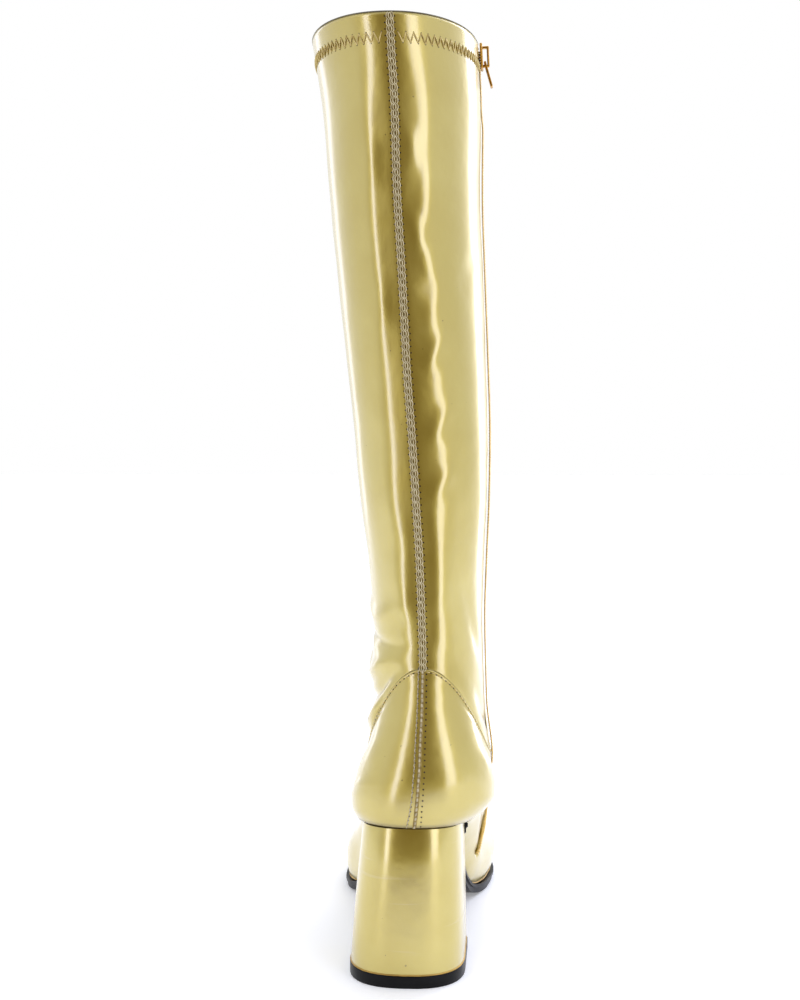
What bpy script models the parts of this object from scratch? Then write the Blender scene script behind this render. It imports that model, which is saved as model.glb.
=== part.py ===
"""A knee-high go go boot for the left foot, with a block heel, a raised back seam and an inside zip.

Metres, +Z up, toe towards +Y, the zip (medial) side towards +X. The origin lies on the floor at the centre
of the top lift's underside. The upper is one smooth surface, a stack of rings like a sock's: each ring runs
from the back of the boot round both sides to the front. Foot, shaft, seam tapes and zip are all cut from it.
"""

import math

import bmesh
import bpy
from mathutils import Matrix, Vector

# Foot and shaft
FOOT_LENGTH = 0.240
BALL_WIDTH = 0.088
HEEL_WIDTH = 0.070
LEG_WIDTH = 0.088
UPPER_OFFSET = 0.0009
BALL_SWING = 0.0064
UPPER_HEIGHT = 0.395
FOOT_WALL = 0.0020
SHAFT_WALL = 0.0015
FOOT_PROUD = 0.0005
CLEARANCE = 0.0003
SOLE_CLEARANCE = 0.0007

# Sole and heel
SOLE_THICKNESS = 0.0050
SOLE_LEDGE = 0.0024
SOLE_STEP = 0.0010
SOLE_STEP_DEPTH = 0.0020
SEAT_RISE = 0.0717
TOE_SPRING = 0.0080
INSOLE_THICKNESS = 0.0022
HEEL_TOP_WIDTH = 0.0501
HEEL_BASE_WIDTH = 0.0572
HEEL_TOP_DEPTH = 0.0530
HEEL_BASE_DEPTH = 0.0560
HEEL_TOP_INSET = 0.0035
HEEL_LEAN = 0.0024
TOP_LIFT_THICKNESS = 0.0060
TOP_LIFT_PROUD = 0.0005

# Seams and zip
BACK_TAPE_WIDTH = 0.0046
BACK_TAPE_THICKNESS = 0.0008
COUNTER_TAPE_WIDTH = 0.0022
COUNTER_TAPE_THICKNESS = 0.0006
ZIP_SLOT = 0.0066
ZIP_TEETH_WIDTH = 0.0050
ZIP_TEETH_PROUD = 0.0004
ZIP_TAPE_LAP = 0.0040
ZIP_TAPE_CLEARANCE = 0.0009
ZIP_TAPE_THICKNESS = 0.0007
ZIP_TOP_MARGIN = 0.0020
SLIDER_LENGTH = 0.0130
SLIDER_WIDTH = 0.0086
SLIDER_THICKNESS = 0.0014
SLIDER_BELOW_RIM = 0.0057
BRIDGE_WIDTH = 0.0020
BRIDGE_LENGTH = 0.0112
BRIDGE_BAR = 0.0012
BRIDGE_OPENING = 0.0022
PULL_LENGTH = 0.0132
PULL_WIDTH = 0.0050
PULL_THICKNESS = 0.0012
PULL_EYE_WIDTH = 0.0028
PULL_EYE_LENGTH = 0.0044
PULL_PLAY = 0.0010
PULL_TILT = math.radians(13.0)

# The feather line's height along the foot: share of the length, share of the seat's rise
RISE = (
    (0.00, 1.000),
    (0.12, 0.965),
    (0.24, 0.840),
    (0.34, 0.625),
    (0.44, 0.350),
    (0.50, 0.175),
    (0.55, 0.065),
    (0.60, 0.015),
    (0.66, 0.000),
    (1.00, 0.000),
)
SPRING_START = 0.80
SPRING_POWER = 1.7

# Half widths along a foot ring: share of the ring's length, share of the heel's half width,
# and shares of the ball's half width on the medial and the lateral side
PLAN = (
    (0.00, 1.00, 0.00, 0.00),
    (0.14, 1.00, 0.00, 0.00),
    (0.30, 0.64, 0.10, 0.22),
    (0.44, 0.31, 0.32, 0.45),
    (0.54, 0.17, 0.55, 0.68),
    (0.66, 0.00, 0.94, 0.97),
    (0.76, 0.00, 1.04, 0.95),
    (0.86, 0.00, 1.02, 0.84),
    (1.00, 0.00, 0.86, 0.62),
)
HEEL_CAP = 0.15
HEEL_CAP_POWER = 2.2
SWING_START = 0.35
SWING_LENGTH = 0.42
TOE_CAP = 0.30
TOE_CAP_POWER = 2.5
LEG_POWER = 2.1
DIP_BACK = 0.35

# One row a ring, from the feather line to the collar.
# back, front: along the foot, shares of FOOT_LENGTH from the back of the heel
# back_up, front_up, dip: heights above the lifted foot and sag at the sides, shares of UPPER_HEIGHT
# lift: share of the seat's rise at the ring's front; follow: share of the sole's curve
# heel, ball, leg: shares of half HEEL_WIDTH, BALL_WIDTH and LEG_WIDTH; gather: shift of the columns
# to the back; shift: the ring's centre towards the medial side, share of LEG_WIDTH
RING_COLUMNS = (
    "back", "front", "back_up", "front_up", "dip", "lift", "follow",
    "heel", "ball", "leg", "gather", "shift",
)
RINGS = (
    ("feather", 0.013, 0.987, 0.000, 0.000, 0.000, 0.00, 1.00, 0.83, 0.95, 0.00, 0.019, 0.022),
    ("edge", 0.003, 1.000, 0.016, 0.018, 0.004, 0.00, 1.00, 0.93, 0.97, 0.03, 0.018, 0.045),
    ("bulge", -0.001, 1.002, 0.035, 0.038, 0.010, 0.00, 0.97, 0.96, 0.95, 0.07, 0.015, 0.068),
    ("side", -0.002, 0.985, 0.055, 0.061, 0.018, 0.00, 0.93, 0.90, 0.87, 0.130, 0.013, 0.078),
    ("toe_top", 0.000, 0.933, 0.075, 0.084, 0.028, 0.00, 0.85, 0.76, 0.68, 0.260, 0.015, 0.086),
    ("vamp", 0.006, 0.846, 0.096, 0.107, 0.040, 0.00, 0.70, 0.60, 0.46, 0.400, 0.025, 0.088),
    ("throat", 0.015, 0.742, 0.116, 0.123, 0.046, 0.05, 0.50, 0.42, 0.29, 0.530, 0.030, 0.090),
    ("instep", 0.027, 0.625, 0.139, 0.138, 0.056, 0.20, 0.30, 0.25, 0.19, 0.610, 0.025, 0.092),
    ("tongue", 0.040, 0.525, 0.164, 0.146, 0.075, 0.50, 0.12, 0.12, 0.08, 0.665, 0.012, 0.092),
    ("seam", 0.050, 0.440, 0.192, 0.173, 0.106, 0.90, 0.00, 0.00, 0.00, 0.725, 0.000, 0.092),
    ("ankle", 0.053, 0.406, 0.225, 0.210, 0.078, 1.00, 0.00, 0.00, 0.00, 0.660, 0.000, 0.092),
    ("over_ankle", 0.049, 0.394, 0.273, 0.273, 0.036, 1.00, 0.00, 0.00, 0.00, 0.648, 0.000, 0.088),
    ("low_shin", 0.042, 0.392, 0.332, 0.332, 0.010, 1.00, 0.00, 0.00, 0.00, 0.685, 0.000, 0.080),
    ("shin", 0.031, 0.398, 0.400, 0.400, 0.000, 1.00, 0.00, 0.00, 0.00, 0.745, 0.000, 0.065),
    ("low_calf", 0.019, 0.417, 0.489, 0.489, 0.000, 1.00, 0.00, 0.00, 0.00, 0.790, 0.000, 0.048),
    ("calf", 0.006, 0.446, 0.590, 0.590, 0.000, 1.00, 0.00, 0.00, 0.00, 0.828, 0.000, 0.016),
    ("mid_calf", -0.006, 0.475, 0.691, 0.693, 0.000, 1.00, 0.00, 0.00, 0.00, 0.862, 0.000, -0.018),
    ("high_calf", -0.017, 0.500, 0.797, 0.801, 0.000, 1.00, 0.00, 0.00, 0.00, 0.895, 0.000, -0.050),
    ("hem", -0.027, 0.521, 0.904, 0.910, 0.000, 1.00, 0.00, 0.00, 0.00, 0.935, 0.000, -0.068),
    ("collar", -0.033, 0.533, 1.000, 1.008, 0.000, 1.00, 0.00, 0.00, 0.00, 0.988, 0.000, -0.110),
)

# How far the back seam wanders from the middle as the leather hangs: ring, share of LEG_WIDTH
SEAM_SWAY = (
    (0.0, 0.026),
    (1.0, 0.012),
    (2.0, -0.002),
    (4.3, -0.008),
    (9.0, -0.005),
    (11.0, -0.010),
    (13.0, -0.012),
    (14.4, -0.020),
    (15.9, -0.003),
    (17.5, 0.009),
    (18.3, 0.014),
    (19.0, 0.032),
)
ZIP_PLACE = 0.5
SEAM = [row[0] for row in RINGS].index("seam")
COLLAR = len(RINGS) - 1
ZIP_END = 1.6
FOOT_RINGS = (0.0, 0.5, 1.0, ZIP_END, 2.3, 3.0, 4.0, 5.0, 5.7, 6.4, 7.2, 8.0)
SHAFT_RINGS = (9.5, 10.0, 10.5, 11.0, 12.0, 13.0, 14.0, 15.0, 16.0, 17.0, 18.0)

# Columns of the upper's mesh: back to zip, zip to front, and front to back on the lateral side
BACK_COLUMNS = 12
FRONT_COLUMNS = 18
LATERAL_COLUMNS = 26
SOLE_STATIONS = 48

# The heel's widths from base to top: share of its height, share of the way to the top's sizes
HEEL_LEVELS = ((1.0, 1.0), (0.75, 0.72), (0.45, 0.38), (0.20, 0.14), (0.0, 0.0))
HEEL_ROUND = 0.50
HEEL_ROUND_POWER = 2.5

BASE_HEIGHT = SOLE_THICKNESS + SOLE_CLEARANCE
BACK_Y = -HEEL_BASE_DEPTH / 2
MEDIAL = 1
LATERAL = -1

GOLD = ((0.62, 0.53, 0.18), 0.9, 0.22)
PALE_GOLD = ((0.66, 0.62, 0.44), 0.6, 0.4)
BRASS = ((0.58, 0.36, 0.10), 1.0, 0.3)
TAPE = ((0.35, 0.29, 0.15), 0.0, 0.7)
BLACK = ((0.012, 0.012, 0.014), 0.0, 0.3)
LINING = ((0.30, 0.27, 0.20), 0.0, 0.8)


def table_value(rows, key, column):
    """Smooth value of one column of a table, keyed by each row's first value, that never overshoots."""
    if key <= rows[0][0]:
        return rows[0][column]
    if key >= rows[-1][0]:
        return rows[-1][column]
    place = max(i for i in range(len(rows) - 1) if rows[i][0] <= key)
    slopes = [
        (b[column] - a[column]) / (b[0] - a[0]) for a, b in zip(rows, rows[1:])
    ]

    def tangent(i):
        if i == 0:
            return slopes[0]
        if i == len(rows) - 1:
            return slopes[-1]
        before, after = slopes[i - 1], slopes[i]
        if before * after <= 0.0:
            return 0.0
        return 2.0 * before * after / (before + after)

    width = rows[place + 1][0] - rows[place][0]
    s = (key - rows[place][0]) / width
    low, high = rows[place][column], rows[place + 1][column]
    return (
        (2 * s**3 - 3 * s**2 + 1) * low
        + (s**3 - 2 * s**2 + s) * width * tangent(place)
        + (3 * s**2 - 2 * s**3) * high
        + (s**3 - s**2) * width * tangent(place + 1)
    )


RING_TABLE = tuple((i,) + row[1:] for i, row in enumerate(RINGS))


def ring(v):
    """The ring row at place v in the stack, where whole numbers are rows of RINGS."""
    return {
        name: table_value(RING_TABLE, v, i + 1) for i, name in enumerate(RING_COLUMNS)
    }


def rise_at(share):
    """Share of the seat's rise under a place along the foot."""
    return table_value(RISE, share, 1)


def spring_at(share):
    """Toe spring under a place along the foot."""
    past = max(0.0, (share - SPRING_START) / (1.0 - SPRING_START))
    return TOE_SPRING * past**SPRING_POWER


def feather_height(y):
    """Height of the feather line, where upper and sole meet, at a distance from the back of the heel."""
    share = y / FOOT_LENGTH
    return BASE_HEIGHT + SEAT_RISE * rise_at(share) + spring_at(share)


def round_end(distance, length, power):
    """Width share that grows from 0 at an end to 1 at a length from it."""
    if distance >= length:
        return 1.0
    return (1.0 - (1.0 - max(0.0, distance) / length) ** power) ** (1.0 / power)


def plan_width(s, side, row):
    """Half width of a foot ring at share s of its length."""
    ball = table_value(PLAN, s, 2 if side == MEDIAL else 3)
    half = row["heel"] * HEEL_WIDTH / 2 * table_value(PLAN, s, 1)
    half += row["ball"] * BALL_WIDTH / 2 * ball
    heel_end = round_end(s, HEEL_CAP, HEEL_CAP_POWER)
    return half * heel_end * round_end(1.0 - s, TOE_CAP, TOE_CAP_POWER)


def leg_width(s, row):
    """Half width of an oval leg ring at share s of its depth."""
    oval = (1.0 - abs(2.0 * s - 1.0) ** LEG_POWER) ** (1.0 / LEG_POWER)
    return row["leg"] * LEG_WIDTH / 2 * oval


def ring_point(s, side, row):
    """Point of a ring at share s of the way from back to front."""
    along = row["back"] + (row["front"] - row["back"]) * s
    straight = 1.0 + (row["lift"] - 1.0) * s
    rise_back, rise_front = rise_at(row["back"]), rise_at(row["front"])
    curve = rise_at(along) - (rise_back + (rise_front - rise_back) * s)
    height = BASE_HEIGHT + SEAT_RISE * (straight + row["follow"] * curve)
    height += row["follow"] * spring_at(along)
    up = row["back_up"] + (row["front_up"] - row["back_up"]) * s
    low = s ** (1.0 - DIP_BACK * row["follow"])
    height += UPPER_HEIGHT * (up - row["dip"] * 4.0 * low * (1.0 - low))
    half = plan_width(s, side, row) + leg_width(s, row)
    along_swing = min(1.0, max(0.0, s - SWING_START) / SWING_LENGTH)
    swing = row["follow"] * along_swing * along_swing * (3.0 - 2.0 * along_swing)
    centre = UPPER_OFFSET + row["shift"] * LEG_WIDTH * (1.0 - swing) - BALL_SWING * swing
    return Vector((centre + side * half, BACK_Y + FOOT_LENGTH * along, height))


def surface(u, v):
    """Point of the upper. u is 0 at the back, 1 and -1 at the front, positive on the medial side."""
    row = ring(v)
    t = min(1.0, abs(u))
    t -= row["gather"] * math.sin(math.pi * t)
    s = (1.0 - math.cos(math.pi * t)) / 2
    return ring_point(s, MEDIAL if u >= 0.0 else LATERAL, row)


def slopes(u, v):
    """Change of the surface with u and with v."""
    step = 0.004
    low, high = max(0.0, v - step), min(float(COLLAR), v + step)
    ahead, behind = u + step, u - step
    if ahead > 1.0:
        ahead -= 2.0
    if behind < -1.0:
        behind += 2.0
    along_u = (surface(ahead, v) - surface(behind, v)) / (2 * step)
    along_v = (surface(u, high) - surface(u, low)) / (high - low)
    return along_u, along_v


def skin(u, v, proud=0.0):
    """Point at a height above the surface."""
    along_u, along_v = slopes(u, v)
    return surface(u, v) + proud * along_u.cross(along_v).normalized()


def beside(u, v, distance):
    """The u at ring v that lies at a distance from the column of u, square to that column."""
    along_u, along_v = slopes(u, v)
    return u + distance * along_v.length / along_u.cross(along_v).length


def above(u, v, distance):
    """The v at column u that lies at a distance from the ring of v, square to that ring."""
    along_u, along_v = slopes(u, v)
    return v + distance * along_u.length / along_u.cross(along_v).length


def collection(name):
    """A new collection in the scene."""
    made = bpy.data.collections.new(name)
    bpy.context.scene.collection.children.link(made)
    return made


def finish_material(name, look):
    """A Principled material from a colour, a metallic value and a roughness."""
    colour, metallic, roughness = look
    material = bpy.data.materials.new(name)
    material.use_nodes = True
    shader = material.node_tree.nodes["Principled BSDF"]
    shader.inputs["Base Color"].default_value = (*colour, 1.0)
    shader.inputs["Metallic"].default_value = metallic
    shader.inputs["Roughness"].default_value = roughness
    return material


def add_object(name, bm, look, group):
    """Puts a bmesh in the scene as a named object, shaded smooth."""
    bmesh.ops.recalc_face_normals(bm, faces=bm.faces[:])
    mesh = bpy.data.meshes.new(name)
    bm.to_mesh(mesh)
    bm.free()
    mesh.materials.append(finish_material(name, look))
    mesh.shade_smooth()
    mesh.set_sharp_from_angle(angle=math.radians(35))
    obj = bpy.data.objects.new(name, mesh)
    group.objects.link(obj)
    return obj


def shell(outer, inner, closed=False, gap=None):
    """A closed wall between an outer and an inner grid of points, a row for each ring, as a bmesh.

    closed joins the last column to the first. gap is the cell column left out above a row.
    """
    bm = bmesh.new()
    count = len(outer[0])
    cells = []
    for k in range(len(outer) - 1):
        for j in range(count if closed else count - 1):
            if gap and j == gap[0] and k >= gap[1]:
                continue
            n = (j + 1) % count
            cells.append(((k, j), (k, n), (k + 1, n), (k + 1, j)))
    used = sorted({corner for cell in cells for corner in cell})
    out = {(k, j): bm.verts.new(outer[k][j]) for k, j in used}
    into = {(k, j): bm.verts.new(inner[k][j]) for k, j in used}
    edges = {(cell[i], cell[(i + 1) % 4]) for cell in cells for i in range(4)}
    for cell in cells:
        bm.faces.new([out[corner] for corner in cell])
        bm.faces.new([into[corner] for corner in reversed(cell)])
    for a, b in sorted(edges):
        if (b, a) not in edges:
            bm.faces.new((out[b], out[a], into[a], into[b]))
    return bm


def ring_columns(v):
    """The u of every mesh column at ring v: from the back past the zip slot and round the front."""
    slot_back = beside(ZIP_PLACE, v, -ZIP_SLOT / 2)
    slot_front = beside(ZIP_PLACE, v, ZIP_SLOT / 2)
    columns = [slot_back * j / BACK_COLUMNS for j in range(BACK_COLUMNS)]
    columns.append(slot_back)
    columns += [
        slot_front + (1.0 - slot_front) * j / FRONT_COLUMNS
        for j in range(FRONT_COLUMNS)
    ]
    columns += [1.0 - j / LATERAL_COLUMNS if j == 0 else -1.0 + j / LATERAL_COLUMNS
                for j in range(LATERAL_COLUMNS)]
    return columns


def upper_rows(rings, proud):
    """Grid rows of the upper at each ring. A ring is a v, or a v and a distance up from it."""
    rows = []
    for entry in rings:
        v, distance = entry if isinstance(entry, tuple) else (entry, 0.0)
        rows.append([skin(u, above(u, v, distance), proud) for u in ring_columns(v)])
    return rows


def build_foot_upper(group):
    rings = FOOT_RINGS + ((float(SEAM), -CLEARANCE / 2),)
    zip_row = FOOT_RINGS.index(ZIP_END)
    outer = upper_rows(rings, FOOT_PROUD)
    inner = upper_rows(rings, FOOT_PROUD - FOOT_WALL)
    bm = shell(outer, inner, closed=True, gap=(BACK_COLUMNS, zip_row))
    add_object("foot_upper", bm, GOLD, group)


def build_shaft(group):
    rings = ((float(SEAM), CLEARANCE / 2),) + SHAFT_RINGS + (float(COLLAR),)
    bm = shell(
        upper_rows(rings, 0.0), upper_rows(rings, -SHAFT_WALL), closed=True,
        gap=(BACK_COLUMNS, 0),
    )
    add_object("shaft", bm, GOLD, group)


def seam_place(v):
    """The u of the back seam's middle at ring v."""
    return beside(0.0, v, LEG_WIDTH * table_value(SEAM_SWAY, v, 1))


def zip_place(v):
    """The u of the zip's middle, the same at every ring."""
    return ZIP_PLACE


def strip_rows(middle, half_width, rings, proud, across=4):
    """Grid rows of a strip along the upper. middle gives the u of its centre line at a ring."""
    rows = []
    for entry in rings:
        v, distance = entry if isinstance(entry, tuple) else (entry, 0.0)
        v = above(middle(v), v, distance)
        centre = middle(v)
        places = [half_width * (2.0 * j / across - 1.0) for j in range(across + 1)]
        rows.append([skin(beside(centre, v, place), v, proud) for place in places])
    return rows


def build_strip(name, middle, width, rings, proud, thickness, look, group):
    """A strip that lies on the upper, its underside at a height above the surface."""
    outer = strip_rows(middle, width / 2, rings, proud + thickness)
    inner = strip_rows(middle, width / 2, rings, proud)
    add_object(name, shell(outer, inner), look, group)


def build_seams(group):
    high = ((float(SEAM), CLEARANCE + FOOT_PROUD),) + SHAFT_RINGS + (float(COLLAR),)
    build_strip(
        "back_seam", seam_place, BACK_TAPE_WIDTH, high, CLEARANCE,
        BACK_TAPE_THICKNESS, PALE_GOLD, group,
    )
    low = FOOT_RINGS + ((float(SEAM), -CLEARANCE),)
    build_strip(
        "heel_seam", seam_place, COUNTER_TAPE_WIDTH, low, FOOT_PROUD + CLEARANCE,
        COUNTER_TAPE_THICKNESS, PALE_GOLD, group,
    )


def build_zip(group):
    inner = -SHAFT_WALL
    top = (float(COLLAR), -ZIP_TOP_MARGIN)
    middle = FOOT_RINGS[FOOT_RINGS.index(ZIP_END) + 1:] + (float(SEAM),) + SHAFT_RINGS
    teeth_end = (ZIP_END, CLEARANCE * 2)
    build_strip(
        "zip_teeth", zip_place, ZIP_TEETH_WIDTH, (teeth_end,) + middle + (top,), inner,
        ZIP_TEETH_PROUD - inner, BRASS, group,
    )
    tape_end = (ZIP_END, -ZIP_TAPE_LAP)
    build_strip(
        "zip_tape", zip_place, ZIP_SLOT + 2 * ZIP_TAPE_LAP, (tape_end,) + middle + (top,),
        inner - ZIP_TAPE_CLEARANCE - ZIP_TAPE_THICKNESS, ZIP_TAPE_THICKNESS, TAPE, group,
    )


def slab(name, outline, levels, stations, look, group):
    """A solid between its left and right sides. outline(s, side, level) gives each point.

    A station where both sides meet closes to an edge; any other end is a flat face.
    """
    bm = bmesh.new()
    sections = []
    for s in stations:
        left = [bm.verts.new(outline(s, LATERAL, level)) for level in levels]
        right = [bm.verts.new(outline(s, MEDIAL, level)) for level in levels]
        sections.append(left + right[::-1])
    count = len(sections[0])
    for a, b in zip(sections, sections[1:]):
        for j in range(count):
            n = (j + 1) % count
            bm.faces.new((a[j], a[n], b[n], b[j]))
    bm.faces.new(sections[0])
    bm.faces.new(sections[-1][::-1])
    bmesh.ops.remove_doubles(bm, verts=bm.verts[:], dist=0.00001)
    return add_object(name, bm, look, group)


def feather_outline(s, side, outset):
    """Plan point of the feather line, moved outwards, with its distance from the back of the heel."""
    row = ring(0.0)
    step = 0.0005
    point = ring_point(s, side, row)
    along = ring_point(min(1.0, s + step), side, row) - ring_point(max(0.0, s - step), side, row)
    outward = Vector((side * along.y, -side * along.x, 0.0)).normalized()
    if s <= 0.0:
        outward = Vector((0.0, -1.0, 0.0))
    if s >= 1.0:
        outward = Vector((0.0, 1.0, 0.0))
    return point + outset * outward


def eased(start, end, count):
    """Places from start to end, closer together towards both."""
    return [
        start + (end - start) * (1.0 - math.cos(math.pi * i / count)) / 2
        for i in range(count + 1)
    ]


def build_insole(group):
    inset = FOOT_WALL - FOOT_PROUD + 2 * CLEARANCE

    def outline(s, side, level):
        point = feather_outline(s, side, -inset)
        point.z = feather_height(point.y - BACK_Y) + level
        return point

    slab("insole", outline, (INSOLE_THICKNESS, 0.0), eased(0.0, 1.0, SOLE_STATIONS), LINING, group)


def breast_share():
    """Share of the feather ring's length at the heel's breast."""
    row = ring(0.0)
    breast = HEEL_TOP_INSET + HEEL_TOP_DEPTH + CLEARANCE
    return (breast / FOOT_LENGTH - row["back"]) / (row["front"] - row["back"])


def build_outsole(group):
    start = breast_share()

    def outline(s, side, level):
        depth, step = level
        toward_toe = min(1.0, (s - start) / (0.60 - start))
        outset = FOOT_PROUD + SOLE_LEDGE * toward_toe**2 - step
        point = feather_outline(s, side, outset)
        if s == start:
            point.y = BACK_Y + HEEL_TOP_INSET + HEEL_TOP_DEPTH + CLEARANCE
        point.z = feather_height(point.y - BACK_Y) - SOLE_CLEARANCE - depth
        return point

    levels = (
        (0.0, 0.0),
        (SOLE_STEP_DEPTH, 0.0),
        (SOLE_STEP_DEPTH, SOLE_STEP),
        (SOLE_THICKNESS, SOLE_STEP),
    )
    stations = [start + (1.0 - start) * math.sin(math.pi / 2 * i / SOLE_STATIONS)
                for i in range(SOLE_STATIONS + 1)]
    slab("outsole", outline, levels, stations, BLACK, group)


def heel_outline(s, side, toward_top, outset=0.0):
    """Plan point of the heel's outline at share s from its back to its breast."""
    depth = HEEL_BASE_DEPTH + (HEEL_TOP_DEPTH - HEEL_BASE_DEPTH) * toward_top
    width = HEEL_BASE_WIDTH + (HEEL_TOP_WIDTH - HEEL_BASE_WIDTH) * toward_top + 2 * outset
    y = HEEL_TOP_INSET * toward_top - outset + (depth + 2 * outset) * s
    half = width / 2 * round_end(s, HEEL_ROUND, HEEL_ROUND_POWER)
    return Vector((HEEL_LEAN * toward_top + side * half, BACK_Y + y, 0.0))


def heel_stations():
    """Places from the heel's back to its breast, closer together at the back."""
    curved = [HEEL_ROUND * (1.0 - math.cos(math.pi / 2 * i / 10)) for i in range(11)]
    return curved + [HEEL_ROUND + (1.0 - HEEL_ROUND) * i / 3 for i in range(1, 4)]


def build_heel(group):
    base = TOP_LIFT_THICKNESS + CLEARANCE

    def outline(s, side, level):
        height_share, toward_top = level
        point = heel_outline(s, side, toward_top)
        top = feather_height(point.y - BACK_Y) - SOLE_CLEARANCE
        point.z = base + (top - base) * height_share
        return point

    slab("heel_block", outline, HEEL_LEVELS, heel_stations(), GOLD, group)

    def lift_outline(s, side, level):
        point = heel_outline(s, side, 0.0, TOP_LIFT_PROUD)
        point.z = level
        return point

    slab("top_lift", lift_outline, (TOP_LIFT_THICKNESS, 0.0), heel_stations(), BLACK, group)


def block(name, size, centre, group, bevel=0.0):
    """A box from a cube, with bevelled edges, in the slider's own axes."""
    bm = bmesh.new()
    bmesh.ops.create_cube(bm, size=1.0, matrix=Matrix.Translation(centre) @ Matrix.Diagonal((*size, 1.0)))
    if bevel:
        bmesh.ops.bevel(
            bm, geom=bm.edges[:], offset=bevel, segments=2, profile=0.5,
            affect="EDGES", material=-1,
        )
    return add_object(name, bm, BRASS, group)


def combine(obj, other, operation):
    """Joins or cuts an object with another by an exact Boolean."""
    step = obj.modifiers.new(other.name, "BOOLEAN")
    step.operation = operation
    step.solver = "EXACT"
    step.object = other
    other.hide_render = True
    other.display_type = "WIRE"


def slider_frame():
    """The slider's axes on the zip: X out of the boot, Y along the rim to the front, Z up the zip."""
    v = above(ZIP_PLACE, float(COLLAR), -SLIDER_BELOW_RIM)
    along_u, along_v = slopes(ZIP_PLACE, v)
    up = along_v.normalized()
    out = along_u.cross(along_v).normalized()
    axes = Matrix((out, up.cross(out), up)).transposed().to_4x4()
    return Matrix.Translation(surface(ZIP_PLACE, v)) @ axes


def build_slider(group, cutters):
    frame = slider_frame()
    face = ZIP_TEETH_PROUD + CLEARANCE
    plate_top = face + SLIDER_THICKNESS
    plate = block(
        "zip_slider", (SLIDER_THICKNESS, SLIDER_WIDTH, SLIDER_LENGTH),
        (face + SLIDER_THICKNESS / 2, 0.0, 0.0), group, bevel=0.0005,
    )
    sunk = SLIDER_THICKNESS / 4
    bridge_height = BRIDGE_OPENING + BRIDGE_BAR + sunk
    bridge = block(
        "bridge_block", (bridge_height, BRIDGE_WIDTH, BRIDGE_LENGTH),
        (plate_top - sunk + bridge_height / 2, 0.0, 0.0), cutters, bevel=0.0005,
    )
    opening = block(
        "bridge_opening",
        (BRIDGE_OPENING, BRIDGE_WIDTH * 2, BRIDGE_LENGTH - 2 * BRIDGE_BAR),
        (plate_top + BRIDGE_OPENING / 2, 0.0, 0.0), cutters,
    )
    combine(bridge, opening, "DIFFERENCE")
    combine(plate, bridge, "UNION")
    for obj in (plate, bridge, opening):
        obj.matrix_world = frame

    hinge_out = plate_top + BRIDGE_OPENING / 2
    hinge_up = -(BRIDGE_LENGTH / 2 - BRIDGE_BAR) + PULL_PLAY
    hinge = frame @ Matrix.Translation((hinge_out, 0.0, hinge_up))
    hinge = hinge @ Matrix.Rotation(-PULL_TILT, 4, "Y")
    top = PULL_THICKNESS / 2
    pull = block(
        "zip_pull_tab", (PULL_THICKNESS, PULL_WIDTH, PULL_LENGTH + top),
        (0.0, 0.0, (top - PULL_LENGTH) / 2), group, bevel=0.00035,
    )
    eye = block(
        "pull_eye", (PULL_THICKNESS * 3, PULL_EYE_WIDTH, PULL_EYE_LENGTH),
        (0.0, 0.0, -top - PULL_EYE_LENGTH / 2), cutters,
    )
    combine(pull, eye, "DIFFERENCE")
    for obj in (pull, eye):
        obj.matrix_world = hinge


def main():
    for obj in list(bpy.data.objects):
        bpy.data.objects.remove(obj, do_unlink=True)
    boot = collection("go_go_boot")
    cutters = collection("cutters")
    build_outsole(boot)
    build_heel(boot)
    build_insole(boot)
    build_foot_upper(boot)
    build_shaft(boot)
    build_seams(boot)
    build_zip(boot)
    build_slider(boot, cutters)


main()
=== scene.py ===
"""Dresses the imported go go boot: gold patent leather, seams, stitches, zip, sole, floor, light and camera."""

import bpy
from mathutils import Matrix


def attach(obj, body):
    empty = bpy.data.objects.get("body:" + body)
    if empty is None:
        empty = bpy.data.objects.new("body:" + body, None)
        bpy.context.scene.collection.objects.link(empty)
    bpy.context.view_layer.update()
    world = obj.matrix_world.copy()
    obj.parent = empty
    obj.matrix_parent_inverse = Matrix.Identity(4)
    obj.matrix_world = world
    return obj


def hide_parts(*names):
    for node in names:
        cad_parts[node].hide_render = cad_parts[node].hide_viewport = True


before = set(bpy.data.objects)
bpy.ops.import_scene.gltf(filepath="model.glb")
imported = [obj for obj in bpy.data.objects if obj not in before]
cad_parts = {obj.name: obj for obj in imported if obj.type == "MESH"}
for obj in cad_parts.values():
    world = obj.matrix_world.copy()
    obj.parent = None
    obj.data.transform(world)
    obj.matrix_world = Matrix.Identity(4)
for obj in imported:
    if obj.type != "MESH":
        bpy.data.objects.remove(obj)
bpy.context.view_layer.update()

import logging
import math
from dataclasses import dataclass
from enum import Enum
from typing import Callable, Sequence

import bmesh
import bpy
import numpy as np
from mathutils import Matrix, Vector, noise

LOG = logging.getLogger("boot")
BOOT = "boot"
PULL = "pull_tab"
MM = 0.001

# The boot's own sizes, the same as the solids'
FOOT_LENGTH = 0.240
BALL_WIDTH = 0.088
HEEL_WIDTH = 0.070
LEG_WIDTH = 0.088
UPPER_OFFSET = 0.0009
BALL_SWING = 0.0064
UPPER_HEIGHT = 0.395
FOOT_WALL = 0.0020
SHAFT_WALL = 0.0015
FOOT_PROUD = 0.0005
SEAT_RISE = 0.0717
TOE_SPRING = 0.0080
SPRING_START, SPRING_POWER = 0.80, 1.7
BASE_HEIGHT = 0.0057
BACK_Y = -0.028
HEEL_CAP, HEEL_CAP_POWER = 0.15, 2.2
TOE_CAP, TOE_CAP_POWER = 0.30, 2.5
SWING_START, SWING_LENGTH = 0.35, 0.42
LEG_POWER = 2.1
DIP_BACK = 0.35
ZIP_PLACE = 0.5
ZIP_SLOT = 0.0066
ZIP_END = 1.6
SEAM = 9.0
COLLAR = 19.0
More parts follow.
